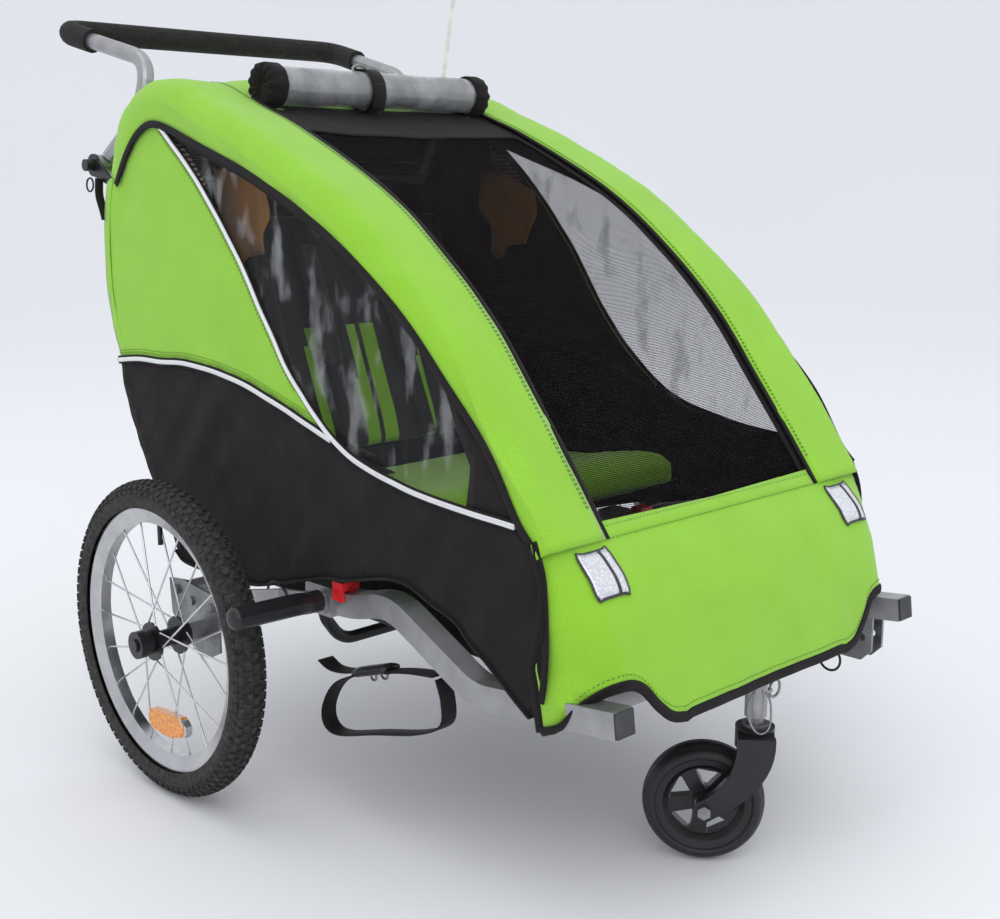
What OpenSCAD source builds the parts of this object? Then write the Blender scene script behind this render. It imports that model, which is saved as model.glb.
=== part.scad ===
// Child bicycle trailer in stroller form: two spoked wheels, a swivelling front caster, a fabric cabin on a
// folding tube frame, and a push handle. Front faces -Y, the rider's left is +X, the ground is z = 0.
// Lengths along Y below are measured from the rear axle; place() moves them to the model's own origin.

/* [Wheels] */
// Outer diameter of each rear tyre
wheel_d = 400; // [380:1:440]
// Width of each rear tyre
tyre_w = 46; // [38:1:52]
// Outer diameter of each rear rim
rim_d = 334; // [314:1:344]
// Outer width of each rear rim
rim_w = 28; // [22:1:32]
// Distance between the two wheel planes
track = 750; // [720:1:900]
// Spokes in each wheel
spoke_count = 20; // [16:4:28]
// Diameter of a spoke
spoke_d = 2.4; // [2:0.1:3]
// Diameter of the push-button axles
axle_d = 12; // [10:1:14]
// Length of each hub
hub_len = 60; // [50:1:66]

/* [Frame] */
// Half of the distance between the side rails' centres
rail_x = 262; // [250:1:266]
// Side of the square side rails
rail_s = 28; // [24:1:30]
// Distance from the axle forward to the rails' front ends
rail_reach = 650; // [620:1:780]
// Diameter of the canopy arch tubes
arch_d = 19; // [16:1:20]
// Half of the distance between the arch tubes' centres
arch_x = 252; // [244:1:254]
// Diameter of the rear strut frame's tube
strut_d = 18; // [15:1:18]
// Length of the rear strut frame from its pivot
strut_len = 400; // [330:1:410]
// Thickness of the steel axle plates
plate_t = 4; // [3:0.5:5]
// Diameter of the frame's pivot bolts
bolt_d = 8; // [6:1:10]

/* [Cabin] */
// Half of the cabin's width, to the middle of the side fabric
side_x = 285; // [283:1:292]
// Thickness of the CAD skins that stand for fabric
skin = 3; // [2:0.5:3]
// Half of the width of the screen between the green bands
screen_x = 190; // [150:1:205]
// Thickness of the floor board
floor_t = 3; // [2:0.5:4]

/* [Handle] */
// Distance from the axle back to the grip's centre line
handle_y = 432; // [380:1:520]
// Height of the grip's centre line
handle_z = 966; // [940:1:1150]
// Half of the width of the handlebar between its corners
handle_x = 240; // [200:1:250]
// Diameter of the handlebar tube
handle_d = 22; // [19:0.5:24]
// Outer diameter of the foam grip
grip_d = 33; // [28:1:36]

/* [Caster] */
// Diameter of the caster tyre
caster_d = 138; // [130:1:152]
// Width of the caster tyre
caster_w = 40; // [30:1:42]
// Distance of the caster's axle behind its stem
caster_trail = 55; // [50:1:60]
// Angle that the caster is turned to at rest
caster_turn = 39; // [0:1:90]
// Diameter of the caster's stem
stem_d = 19; // [16:1:20]

/* [Extras] */
// Diameter of the rolled rain cover
roll_d = 56; // [44:1:58]
// Half length of the rolled rain cover with its end caps
roll_half = 189; // [160:1:189]
// Length of the flag pole
pole_len = 850; // [400:1:1300]
// Diameter of the flag pole
pole_d = 6; // [5:0.5:8]

/* [Hidden] */
$fn = 48;
run = 0.05;            // radial clearance of a turning pin in its bore
gap = 0.5;             // clearance between neighbouring pieces
wheel_r = wheel_d / 2;
wheel_x = track / 2;
rim_r = rim_d / 2;
rim_deep = 20;
axle_r = axle_d / 2;
hub_in = wheel_x - hub_len / 2;
hub_out = wheel_x + hub_len / 2;
plate_x = hub_in - 27;     // inner face of the axle plate
cap_len = 11;
cap_r = 17;
push_r = 8;
bolt_r = bolt_d / 2;
plug_t = 3;
grip_r = grip_d / 2;
// The model's origin is the middle of its box in plan
origin_y = (rail_reach + plug_t - handle_y - grip_r) / 2;
// Side rail, from the sleeve to the front end, as [y, z]
rail_path = [[-165, 272], [-242, 272], [-312, 290], [-452, 222], [-rail_reach, 245]];
sleeve = [-213, -165];     // the joint sleeve's stretch of the rail
sleeve_wall = 4;
stay_t = 6;                // thickness of the flat stays
button_size = [26, 18, 10];
button_y = -228;           // the release button, just ahead of the sleeve
button_foot = 12;          // side of the button's square foot
button_rise = 4.4;           // gap under the button's cap
button_lip = 8;            // how far the cap's lip laps down the rail's outer face
button_gap = 0.3;
// Arch pivots and the canopy's outline from front to rear, as [y, z]
pivot = [-545, 276];
crest = [[-565, 400], [-522, 458], [-474, 519], [-409, 600], [-326, 676], [-221, 749], [-70, 820],
         [11, 848], [90, 866], [140, 864], [185, 848], [222, 812], [244, 768]];
arch_end = [230, 762];
rear_wall = [[252, 745], [262, 679], [262, 612], [247, 558], [229, 522], [215, 452], [166, 369], [112, 275]];
roof_front = [[24, 834], [45, 840], [66, 858], [110, 876], [168, 870], [226, 820]];
apron = [[-549, 408], [-588, 370], [-620, 300], [-630, 262], [-642, 204]];
belly = [[80, 262], [-56, 262], [-148, 285], [-218, 303], [-256, 309], [-338, 328], [-380, 321], [-444, 300],
         [-503, 258], [-545, 236]];
window_low = [[92, 812], [17, 752], [-63, 665], [-120, 586], [-176, 521], [-257, 462], [-352, 437],
              [-431, 428], [-522, 426]];
strut_pivot = [55, 240];
strut_lean = 71.6;
strut_x = 271;
floor_z = 250;
// Handlebar: its pivot on the clamps, and the bends of one leg as [x, y, z]
grip_pivot = [290, 778];
handle_leg = [[262, grip_pivot.x, grip_pivot.y], [236, 238, 842], [222, 232, 915],
              [handle_x, handle_y, handle_z]];
handle_cut = 35;
handle_path = concat(handle_leg, [for (i = [3:-1:0]) [-handle_leg[i].x, handle_leg[i].y, handle_leg[i].z]]);
grip_rise = 75;            // how far the grip runs down each leg from the corner
caster_r = caster_d / 2;
stem_y = -620;
stem_top = 236;
crown_z = 136;
crown_h = 24;
crown_r = 22;
roll_y = 28;
roll_z = 875;
roll_r = roll_d / 2;
pole_foot = [205, 128, 869];
pole_lean = 12;

// ---- Helpers ----
function unit(v) = v / norm(v);
function last(p) = len(p) - 1;
function bow(a, b, c, n) = [for (i = [0:n])
    let (t = i / n) (1 - t) * (1 - t) * a + 2 * t * (1 - t) * b + t * t * c];
// A path with each inner corner replaced by a curve that starts cut before it and ends cut after it
function rounded(p, cut, n = 6) = concat([p[0]],
    [for (i = [1:last(p) - 1])
        let (u = p[i - 1] - p[i], v = p[i + 1] - p[i], c = min(cut, norm(u) * 0.48, norm(v) * 0.48))
        each bow(p[i] + unit(u) * c, p[i], p[i] + unit(v) * c, n)],
    [p[last(p)]]);
function tangent(p, i) = unit(p[min(i + 1, last(p))] - p[max(i - 1, 0)]);
function beside(p, d) = [for (i = [0:last(p)]) let (t = tangent(p, i)) p[i] + d * [-t.y, t.x]];
function back_to_front(p) = [for (i = [last(p):-1:0]) p[i]];
function carry(p, n, i = 0, out = []) = i > last(p) ? out :
    let (t = tangent(p, i), m = unit(n - (n * t) * t)) carry(p, m, i + 1, concat(out, [m]));
function rings(p, r, sides, n) = let (m = carry(p, n))
    [for (i = [0:last(p)], k = [0:sides - 1])
        let (a = 360 * k / sides, t = tangent(p, i)) p[i] + r * (cos(a) * m[i] + sin(a) * cross(t, m[i]))];
function wall_faces(count, sides, base, out) = [for (i = [0:count - 2], k = [0:sides - 1])
    let (a = base + i * sides + k, b = base + i * sides + (k + 1) % sides)
    out ? [a, a + sides, b + sides, b] : [a, b, b + sides, a + sides]];

// A round bar that follows a 3D path
module swept_bar(path, r, sides = 14, n = [0, 0, 1]) {
    c = len(path);
    polyhedron(rings(path, r, sides, n), concat(wall_faces(c, sides, 0, true),
        [[for (k = [0:sides - 1]) k]], [[for (k = [sides - 1:-1:0]) (c - 1) * sides + k]]));
}
// The same with a bore along it
module swept_pipe(path, r, inner, sides = 16, n = [0, 0, 1]) {
    c = len(path);
    s = c * sides;
    polyhedron(concat(rings(path, r, sides, n), rings(path, inner, sides, n)),
        concat(wall_faces(c, sides, 0, true), wall_faces(c, sides, s, false),
        [for (k = [0:sides - 1]) let (j = (k + 1) % sides) [k, j, s + j, s + k]],
        [for (k = [0:sides - 1])
            let (j = (k + 1) % sides, e = s - sides) [e + j, e + k, s + e + k, s + e + j]]));
}
// A flat strip of even width along a plane path
module ribbon(path, w) polygon(concat(beside(path, w / 2), back_to_front(beside(path, -w / 2))));
// Plane shapes drawn as [y, z], extruded from x0 to x1
module across(x0, x1) translate([x0, 0, 0]) rotate([90, 0, 90]) linear_extrude(x1 - x0) children();
module x_rod(x0, x1, y, z, r) translate([x0, y, z]) rotate([0, 90, 0]) cylinder(h = x1 - x0, r = r);
module x_turned(x) translate([x, 0, wheel_r]) rotate([0, 90, 0]) rotate_extrude($fn = 96) children();
module rod(a, b, r) {
    d = b - a;
    translate(a) rotate([0, acos(d.z / norm(d)), atan2(d.y, d.x)]) cylinder(h = norm(d), r = r, $fn = 16);
}
module place() translate([0, origin_y, 0]) children();
module on_side(s) mirror([s < 0 ? 1 : 0, 0, 0]) children();
module both_sides() for (s = [-1, 1]) on_side(s) children();

// ---- Chassis ----
module side_rail(s) color("silver") place() on_side(s) difference() {
    union() {
        across(rail_x - rail_s / 2, rail_x + rail_s / 2) ribbon(rounded(rail_path, 26), rail_s);
        across(rail_x + rail_s / 2 - 5, rail_x + rail_s / 2)
            translate([pivot.x - 13, pivot.y - 40]) square([26, 54]);
    }
    x_rod(rail_x, rail_x + rail_s, pivot.x, pivot.y, bolt_r);
    translate([rail_x, button_y, rail_path[0].y + rail_s / 2])
        cube([button_foot + 2 * button_gap, button_foot + 2 * button_gap, 12], center = true);
    x_rod(rail_x - rail_s, rail_x + rail_s, sleeve[0] + 32, rail_path[0].y, bolt_r / 2 + 1);
}
module side_rail_left() side_rail(1);
module side_rail_right() side_rail(-1);

module rear_stays() color("gainsboro") place() both_sides() {
    o = rail_s + 2 * sleeve_wall;
    z = rail_path[0].y;
    difference() {
        translate([rail_x - o / 2, sleeve[0], z - o / 2]) cube([o, sleeve[1] - sleeve[0] - gap, o]);
        translate([rail_x, sleeve[0] + 29, z]) cube([rail_s + 2 * run, 60, rail_s + 2 * run], center = true);
    }
    x0 = rail_x + o / 2;
    slope = atan((z - 240) / -sleeve[0]);
    stay = [[plate_x - 3, 30], [plate_x - 3, -50], [x0 + 13, -100], [x0 + 3, -120], [x0 + 3, sleeve[0] + 4]];
    translate([0, 0, 240]) rotate([-slope, 0, 0]) translate([0, 0, -12])
        linear_extrude(24) ribbon(stay, stay_t);
}

rail_end = rail_path[last(rail_path)];
rail_way = unit(rail_end - rail_path[last(rail_path) - 1]);
rail_up = [-rail_way.y, rail_way.x];
plug_side = rail_s / 2 - 1;
module rail_end_plugs() color("dimgray") place() both_sides() across(rail_x - plug_side, rail_x + plug_side)
    polygon([for (c = [[0.3, 1], [0.3, -1], [plug_t - 0.4, -1], [plug_t - 0.4, 1]])
        rail_end + c.x * rail_way + c.y * plug_side * rail_up]);

// A cap over the rail's outer corner, with a foot that slides in the rail's pocket
module rail_button(s) color("red") place() on_side(s) translate([0, button_y, rail_path[0].y + rail_s / 2]) {
    side = rail_x + rail_s / 2 + gap;
    translate([rail_x - button_foot / 2, -button_foot / 2, -1])
        cube([button_foot, button_foot, button_rise + 2]);
    translate([side + 4 - button_size.x, -button_size.y / 2, button_rise]) cube(button_size);
    translate([side, -button_size.y / 2, -button_lip])
        cube([4, button_size.y, button_lip + button_rise + 1]);
}
module rail_button_left() rail_button(1);
module rail_button_right() rail_button(-1);

module front_cross_tube() color("silver") place()
    translate([-rail_x + rail_s / 2, stem_y + 28, 224]) cube([2 * rail_x - rail_s, 24, 24]);

cross_y = -174;
cross_r = 7.5;
cross_z = 207;
cross_top = rail_path[0].y - rail_s / 2 - sleeve_wall;
cross_path = [[rail_x - 2, cross_y, cross_top - 1], [rail_x - 4, cross_y, cross_top - 14],
              [rail_x - 28, cross_y, cross_z], [-rail_x + 28, cross_y, cross_z],
              [-rail_x + 4, cross_y, cross_top - 14], [-rail_x + 2, cross_y, cross_top - 1]];
module rear_cross_tube() color("#2c2c2e") place() swept_bar(rounded(cross_path, 24), cross_r, n = [0, 1, 0]);

guard_r = 13;
guard_from = rail_x + rail_s / 2 + sleeve_wall + stay_t + 0.2 + gap;
guard_path = [[guard_from, -200, 274], [guard_from + 18, -200, 274], [wheel_x - tyre_w, -222, 284],
              [wheel_x + tyre_w, -228, 288]];
module wheel_guards() color("#2c2c2e") place() both_sides() swept_bar(rounded(guard_path, 40), guard_r);

plate_outline = [[-38, 176], [-14, 164], [14, 164], [70, 206], [74, 252], [38, 256], [-38, 248]];
module axle_plate(s) color("gray") place() on_side(s) difference() {
    union() {
        across(plate_x, plate_x + plate_t) polygon(plate_outline);
        x_rod(plate_x + plate_t - 0.01, hub_in - gap, 0, wheel_r, axle_r + 5);
        x_rod(plate_x - 8, plate_x + 0.01, 0, wheel_r, axle_r + 7);
    }
    x_rod(plate_x - 20, hub_in + 1, 0, wheel_r, axle_r);
    x_rod(plate_x - 1, plate_x + plate_t + 1, strut_pivot.x, strut_pivot.y, bolt_r);
}
module axle_plate_left() axle_plate(1);
module axle_plate_right() axle_plate(-1);

module hex_bolt(x0, x1, y, z) {
    x_rod(x0, x1, y, z, bolt_r);
    x_rod(x1 - 0.01, x1 + 5, y, z, bolt_r * 1.7, $fn = 6);
}
module frame_bolts() color("lightgray") place() both_sides() {
    hex_bolt(strut_x - strut_d / 2 + 1, plate_x + plate_t, strut_pivot.x, strut_pivot.y);
    hex_bolt(arch_x - 11, rail_x + rail_s / 2, pivot.x, pivot.y);
    for (y = [-22, 22]) x_rod(plate_x + plate_t, plate_x + plate_t + 3, y, 232, 6);
}

module axle(s) color("#3a3a3c") place() on_side(s) difference() {
    union() {
        x_rod(plate_x - 14, hub_out + 1, 0, wheel_r, axle_r);
        x_rod(hub_out + gap, hub_out + gap + cap_len, 0, wheel_r, cap_r);
    }
    x_rod(hub_out + gap + 3, hub_out + gap + cap_len + 1, 0, wheel_r, push_r + run);
}
module axle_left() axle(1);
module axle_right() axle(-1);

module axle_button(s) color("black") place() on_side(s)
    x_rod(hub_out + gap + 7, hub_out + gap + cap_len + 3, 0, wheel_r, push_r);
module axle_button_left() axle_button(1);
module axle_button_right() axle_button(-1);

hitch_hole = [-602, 200];
hitch_pin_at = [-566, 184];
hitch_pin_r = 5;
pin_ring_r = 15;
hitch_x = rail_x - rail_s / 2;
rail_half = (rail_s / 2 + 0.2) / abs(rail_way.x);
// Height of the front rail's underside at y
function rail_under(y) = rail_end.y + (y - rail_end.x) * rail_way.y / rail_way.x - rail_half;
module hitch_bracket() color("gray") place() difference() {
    for (x = [hitch_x, rail_x + rail_s / 2 - 4]) across(x, x + 4)
        polygon([[-515, 170], [-515, rail_under(-515)], [-616, rail_under(-616)], [-616, 184], [-602, 170]]);
    x_rod(hitch_x - 1, rail_x + rail_s, hitch_hole.x, hitch_hole.y, 5);
    x_rod(hitch_x - 1, rail_x + rail_s, hitch_pin_at.x, hitch_pin_at.y, hitch_pin_r + run);
}
module hitch_pin() color("#222222") place() {
    x_rod(hitch_x - 16, rail_x + rail_s / 2 + 8, hitch_pin_at.x, hitch_pin_at.y, hitch_pin_r);
    x_rod(hitch_x - gap - 5, hitch_x - gap, hitch_pin_at.x, hitch_pin_at.y, 9);
    translate([hitch_x - 12, hitch_pin_at.x, hitch_pin_at.y - pin_ring_r - 3.5]) rotate([0, 90, 0])
        rotate_extrude() translate([pin_ring_r, 0]) circle(r = 1.6, $fn = 16);
}

module floor_board() color("#303030") place()
    translate([-rail_x + rail_s / 2 + 6, -540, floor_z]) cube([2 * rail_x - rail_s - 12, 640, floor_t]);

// ---- Caster ----
function caster_at() = [0, stem_y, 0];
module turned() place() translate(caster_at()) rotate(caster_turn) children();
receiver = [172, 238];     // lower and upper end of the receiver tube
receiver_r = stem_d / 2 + 3;
lock_z = 194;
lock_r = 3;
module caster_receiver() color("silver") place() difference() {
    union() {
        cylinder_at(stem_y, receiver[0], receiver[1] - receiver[0], receiver_r);
        translate([-15, stem_y + 6, receiver[1] - 14]) cube([30, 22, 14]);
    }
    cylinder_at(stem_y, receiver[0] - 1, receiver[1] - receiver[0] + 2, stem_d / 2 + run);
    x_rod(0, receiver_r + 1, stem_y, lock_z, lock_r + run);
}
module caster_stem() color("lightgray") turned() {
    cylinder_at(0, crown_z + crown_h, stem_top - crown_z - crown_h, stem_d / 2);
    cylinder_at(0, crown_z + crown_h, 4, stem_d / 2 + 5);
}
module caster_lock_pin() color("silver") place() {
    x_rod(stem_d / 2 + 1, stem_d / 2 + 18, stem_y, lock_z, lock_r);
    translate([stem_d / 2 + 26, stem_y, lock_z]) rotate([90, 0, 0])
        rotate_extrude() translate([10, 0]) circle(r = 1.6, $fn = 16);
}
// One curved arm that drops from the crown down one side of the wheel
caster_bolt_r = 4;
fork_side = caster_w / 2 + 4;
fork_t = 11;
fork_top = crown_z + 20;
fork_outline = concat(bow([-21, fork_top], [-24, crown_z - 38], [caster_trail - 9, caster_r - 9], 10),
    arc(caster_trail, caster_r, 12.8, 225, 405), bow([caster_trail + 9, caster_r + 9], [18, crown_z - 34],
    [21, fork_top], 10));
module caster_fork() color("#1c1c1e") turned() {
    difference() {
        union() {
            cylinder_at(0, crown_z, crown_h, crown_r);
            across(-fork_side - fork_t, -fork_side) polygon(fork_outline);
            translate([-fork_side - 4, -20, crown_z + 2]) cube([fork_side + 8, 40, 18]);
        }
        x_rod(-fork_side - 20, 0, caster_trail, caster_r, caster_bolt_r);
    }
}
module cylinder_at(y, z, h, r) translate([0, y, z]) cylinder(h = h, r = r);
function arc(y, z, r, a0, a1) = [for (i = [0:14])
    let (a = a0 + (a1 - a0) * i / 14) [y + r * cos(a), z + r * sin(a)]];
module caster_bolt() color("lightgray") turned() {
    x_rod(-fork_side - fork_t, caster_w / 2 + 1, caster_trail, caster_r, caster_bolt_r);
    x_rod(-fork_side - fork_t - 5, -fork_side - fork_t, caster_trail, caster_r, 8, $fn = 6);
    x_rod(caster_w / 2 + 1, caster_w / 2 + 6, caster_trail, caster_r, 7, $fn = 6);
}
rim_caster = caster_r - 15;
web_r = 40;                // radius of the wheel's open web
module caster_wheel() color("#202022") turned() translate([0, caster_trail, caster_r]) rotate([0, 90, 0])
    difference() {
        union() {
            rotate_extrude($fn = 72) polygon([[rim_caster, -16], [rim_caster, 16], [rim_caster - 8, 14],
                [web_r, 8], [web_r, -8], [rim_caster - 8, -14]]);
            translate([0, 0, -7]) cylinder(h = 14, r = web_r + 1);
            translate([0, 0, -caster_w / 2]) cylinder(h = caster_w, r = 11);
        }
        for (i = [0:4]) rotate(i * 72 + 44) translate([0, 0, -20]) linear_extrude(40)
            offset(r = 2) polygon([[17, 0], [web_r - 5, -12], [web_r - 5, 12]]);
        translate([0, 0, -caster_w]) cylinder(h = 2 * caster_w, r = caster_bolt_r + run);
    }
module caster_tyre() color("#151515") turned() translate([0, caster_trail, caster_r]) rotate([0, 90, 0])
    rotate_extrude($fn = 72) polygon(concat([[rim_caster, -caster_w / 2 + 1]],
        [for (i = [0:12]) let (a = -90 + 15 * i) [caster_r - 11 + 11 * cos(a), (caster_w / 2) * sin(a)]],
        [[rim_caster, caster_w / 2 - 1]]));

// ---- Rear wheels ----
module tyre(s) color("#1d1d1d") place() on_side(s) x_turned(wheel_x) difference() {
    translate([wheel_r - tyre_w / 2, 0]) circle(r = tyre_w / 2, $fn = 40);
    translate([0, -tyre_w]) square([rim_r, 2 * tyre_w]);
}
module tyre_left() tyre(1);
module tyre_right() tyre(-1);

module rim(s) color("silver") place() on_side(s) x_turned(wheel_x)
    polygon([[rim_r, rim_w / 2], [rim_r - 4, rim_w / 2], [rim_r - rim_deep, rim_w / 4],
        [rim_r - rim_deep, -rim_w / 4], [rim_r - 4, -rim_w / 2], [rim_r, -rim_w / 2],
        [rim_r, -rim_w / 2 + 3], [rim_r - 8, -rim_w / 2 + 4], [rim_r - 12, 0],
        [rim_r - 8, rim_w / 2 - 4], [rim_r, rim_w / 2 - 3]]);
module rim_left() rim(1);
module rim_right() rim(-1);

flange_r = 24;
flange_x = hub_len / 2 - 12;
spoke_cross = 46;
reflector_t = 9;
reflector_outline = [[-38, -4], [-32, -10], [-12, -13], [12, -13], [32, -10], [38, -4], [38, 5], [31, 12],
                     [-31, 12], [-38, 5]];
module spokes(s) color("lightgray") place() on_side(s) translate([wheel_x, 0, wheel_r]) {
    for (i = [0:spoke_count - 1]) {
        a = 360 * i / spoke_count;
        f = a + (i % 4 < 2 ? spoke_cross : -spoke_cross);
        x = i % 2 == 0 ? flange_x : -flange_x;
        h = flange_r - 3;
        t = rim_r - rim_deep + 1;
        rod([x, h * cos(f), h * sin(f)], [0, t * cos(a), t * sin(a)], spoke_d / 2);
    }
    rotate([-4, 0, 0]) translate([0, 0, -112])
        across(-reflector_t / 2, reflector_t / 2) polygon(reflector_outline);
}
module spokes_left() spokes(1);
module spokes_right() spokes(-1);

module hub(s) color("#2b2b2d") place() on_side(s) difference() {
    union() {
        x_rod(hub_in, hub_out, 0, wheel_r, 11);
        for (x = [-flange_x, flange_x]) x_rod(wheel_x + x - 1.5, wheel_x + x + 1.5, 0, wheel_r, flange_r);
        x_rod(hub_out - 7, hub_out, 0, wheel_r, 15);
        x_rod(hub_in, hub_in + 7, 0, wheel_r, 15);
    }
    x_rod(hub_in - 1, hub_out + 1, 0, wheel_r, axle_r + run);
}
module hub_left() hub(1);
module hub_right() hub(-1);

// ---- Folding frame ----
arch_line = concat([[pivot.x - 6, pivot.y + 26], [-552, 360]],
    beside([for (i = [1:last(crest) - 1]) crest[i]], -(skin + arch_d / 2 + 1.5)), [arch_end]);
module canopy_arch(s) color("silver") place() on_side(s)
    swept_bar([for (p = rounded(arch_line, 40, 2)) [arch_x, p.x, p.y]], arch_d / 2, 12, [1, 0, 0]);
module canopy_arch_left() canopy_arch(1);
module canopy_arch_right() canopy_arch(-1);

module arch_feet() color("gray") place() both_sides() difference() {
    union() {
        x_rod(arch_x - 9, arch_x + 9, pivot.x, pivot.y, 13);
        rod([arch_x, pivot.x - 6, pivot.y + 4], [arch_x, pivot.x - 6, pivot.y + 26 - gap], 8);
    }
    x_rod(arch_x - 20, arch_x + 20, pivot.x, pivot.y, bolt_r + run);
}
module canopy_rear_tube() color("silver") place()
    x_rod(-arch_x + arch_d / 2 + 1, arch_x - arch_d / 2 - 1, arch_end.x - 12, arch_end.y, arch_d / 2 - 1);

module strut_frame() color("silver") place() difference() {
    union() {
        both_sides() {
            x_rod(strut_x - strut_d / 2, plate_x - gap, strut_pivot.x, strut_pivot.y, strut_d / 2);
            translate([strut_x, strut_pivot.x, strut_pivot.y]) rotate([strut_lean - 90, 0, 0])
                cylinder(h = strut_len, r = strut_d / 2 - 0.6);
        }
        x_rod(-strut_x - 3, strut_x + 3, strut_top(0).y, strut_top(0).z, strut_d / 2 + 0.6);
    }
    both_sides() x_rod(strut_x - 20, plate_x + 1, strut_pivot.x, strut_pivot.y, bolt_r + run);
}
function strut_top(x) = [x, strut_pivot.x + strut_len * cos(strut_lean),
    strut_pivot.y + strut_len * sin(strut_lean)];

// ---- Handle ----
clamp_x = 262;
eye_half = 15;             // half width of the handle's eyes between the clamp plates
module handlebar() color("silver") place() difference() {
    union() {
        swept_bar(rounded(concat([handle_path[0] + [-2, -8, 10]], [for (i = [1:6]) handle_path[i]],
            [handle_path[7] + [2, -8, 10]]), handle_cut, 8), handle_d / 2, 14, [1, 0, 0]);
        both_sides() x_rod(clamp_x - eye_half, clamp_x + eye_half, grip_pivot.x, grip_pivot.y, 14);
    }
    both_sides() x_rod(clamp_x - 30, clamp_x + 30, grip_pivot.x, grip_pivot.y, bolt_r + run);
}
grip_from = handle_leg[3] + unit(handle_leg[2] - handle_leg[3]) * grip_rise;
grip_to = [-grip_from.x, grip_from.y, grip_from.z];
module handle_grip() color("#262424") place()
    swept_pipe(rounded([grip_from, handle_path[3], handle_path[4], grip_to], handle_cut, 8), grip_r,
        handle_d / 2 + gap, 16, [1, 0, 0]);

module handle_clamps() color("#1e1e20") place() both_sides() {
    for (x = [clamp_x - eye_half - gap - 4, clamp_x + eye_half + gap]) across(x, x + 4) {
        translate(grip_pivot) circle(r = 15);
        polygon([[grip_pivot.x - 2, grip_pivot.y + 15], [grip_pivot.x - 2, grip_pivot.y - 15],
            [arch_end.x + 10, arch_end.y - 14], [arch_end.x + 10, arch_end.y], arch_end + [20, 2]]);
    }
    translate([clamp_x - eye_half - gap - 4, arch_end.x - 8, arch_end.y - 18])
        cube([2 * (eye_half + gap + 4), 26, 13]);
    x_rod(clamp_x - eye_half - gap - 4, clamp_x + eye_half + gap + 8, grip_pivot.x, grip_pivot.y, bolt_r);
    x_rod(clamp_x + eye_half + gap + 4, clamp_x + eye_half + gap + 16, grip_pivot.x, grip_pivot.y, 8);
}

// ---- Fabric, as plain skins ----
band_line = rounded(crest, 60, 3);
// Lower edge of the bands' side skirts, from front to rear
skirt_line = [[-549, 411], [-531, 430], [-489, 494], [-430, 553], [-353, 624], [-237, 699], [-107, 758],
              [16, 799], [106, 826], [170, 812], [222, 766]];
module canopy_band(s) color("yellowgreen") place() on_side(s) {
    across(screen_x, side_x + skin + 1) ribbon(band_line, skin);
    across(side_x + skin, side_x + 2 * skin - 1)
        polygon(concat(band_line, back_to_front(skirt_line)));
}
module canopy_band_left() canopy_band(1);
module canopy_band_right() canopy_band(-1);

panel_top = beside([for (i = [0:last(band_line)]) band_line[i]], -skin - 2);
panel_outline = concat(back_to_front(belly), [rear_wall[7] - [3, 0]],
    back_to_front([for (p = rear_wall) p - [3, 0]]),
    back_to_front(panel_top), [[-568, 390], [-566, 300], [-560, 250]]);
window_outline = concat(window_low, beside([for (i = [1:8]) crest[i]], -skin - 12));
module side_panel(s) color("#2a2829") place() on_side(s) across(side_x - skin / 2, side_x + skin / 2)
    difference() {
        polygon(panel_outline);
        polygon(window_outline);
    }
module side_panel_left() side_panel(1);
module side_panel_right() side_panel(-1);

module side_windows() color([0.5, 0.55, 0.55, 0.4]) place() both_sides()
    across(side_x - skin / 4, side_x + skin / 4) offset(delta = -gap) polygon(window_outline);

// The cover's lower edge is cut back around the rail ends, from this far out and up to this height
rail_cut = [172, 272];
module front_cover() color("yellowgreen") place() difference() {
    across(-side_x + skin, side_x - skin) ribbon(apron, skin);
    both_sides() translate([rail_cut.x, -rail_reach - 20, 190]) cube([side_x, 80, rail_cut.y - 190]);
}
screen_line = beside(concat([crest[0] + 0.45 * (crest[1] - crest[0])],
    [for (i = [1:last(crest) - 5]) crest[i]]), -9);
module front_screen() color("#3c3c3e") place()
    across(-screen_x + 1, screen_x - 1) ribbon(rounded(screen_line, 50, 3), skin);

module rear_panel() color("yellowgreen") place() {
    across(-screen_x + 1, screen_x - 1) ribbon(rounded(concat(roof_front, [rear_wall[0]]), 24, 3), skin);
    across(-240, 240) ribbon(rounded(rear_wall, 24, 3), skin);
}

seat_front = -330;
module seat_base() color("#8cc63f") place()
    across(-225, 225)
        ribbon(rounded([[seat_front, 352], [seat_front + 24, 392], [-180, 372], [10, 356]], 30), 18);
module seat_back() color("#232323") place()
    across(-225, 225) ribbon(rounded([[22, 380], [60, 470], [110, 600], [160, 720]], 40), 18);
module harness() color("#1a1a1a") place() for (c = [-112, 112]) {
    for (x = [c - 58, c + 34]) across(x, x + 24) ribbon([[4, 402], [44, 488], [94, 616], [132, 708]], 3);
    translate([c - 20, -64, 384]) cube([40, 50, 12]);
}

module front_reflectors() color("white") place() both_sides()
    translate([226, -601, 372]) rotate([-24, 0, 0]) cube([46, 5, 48], center = true);

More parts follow.
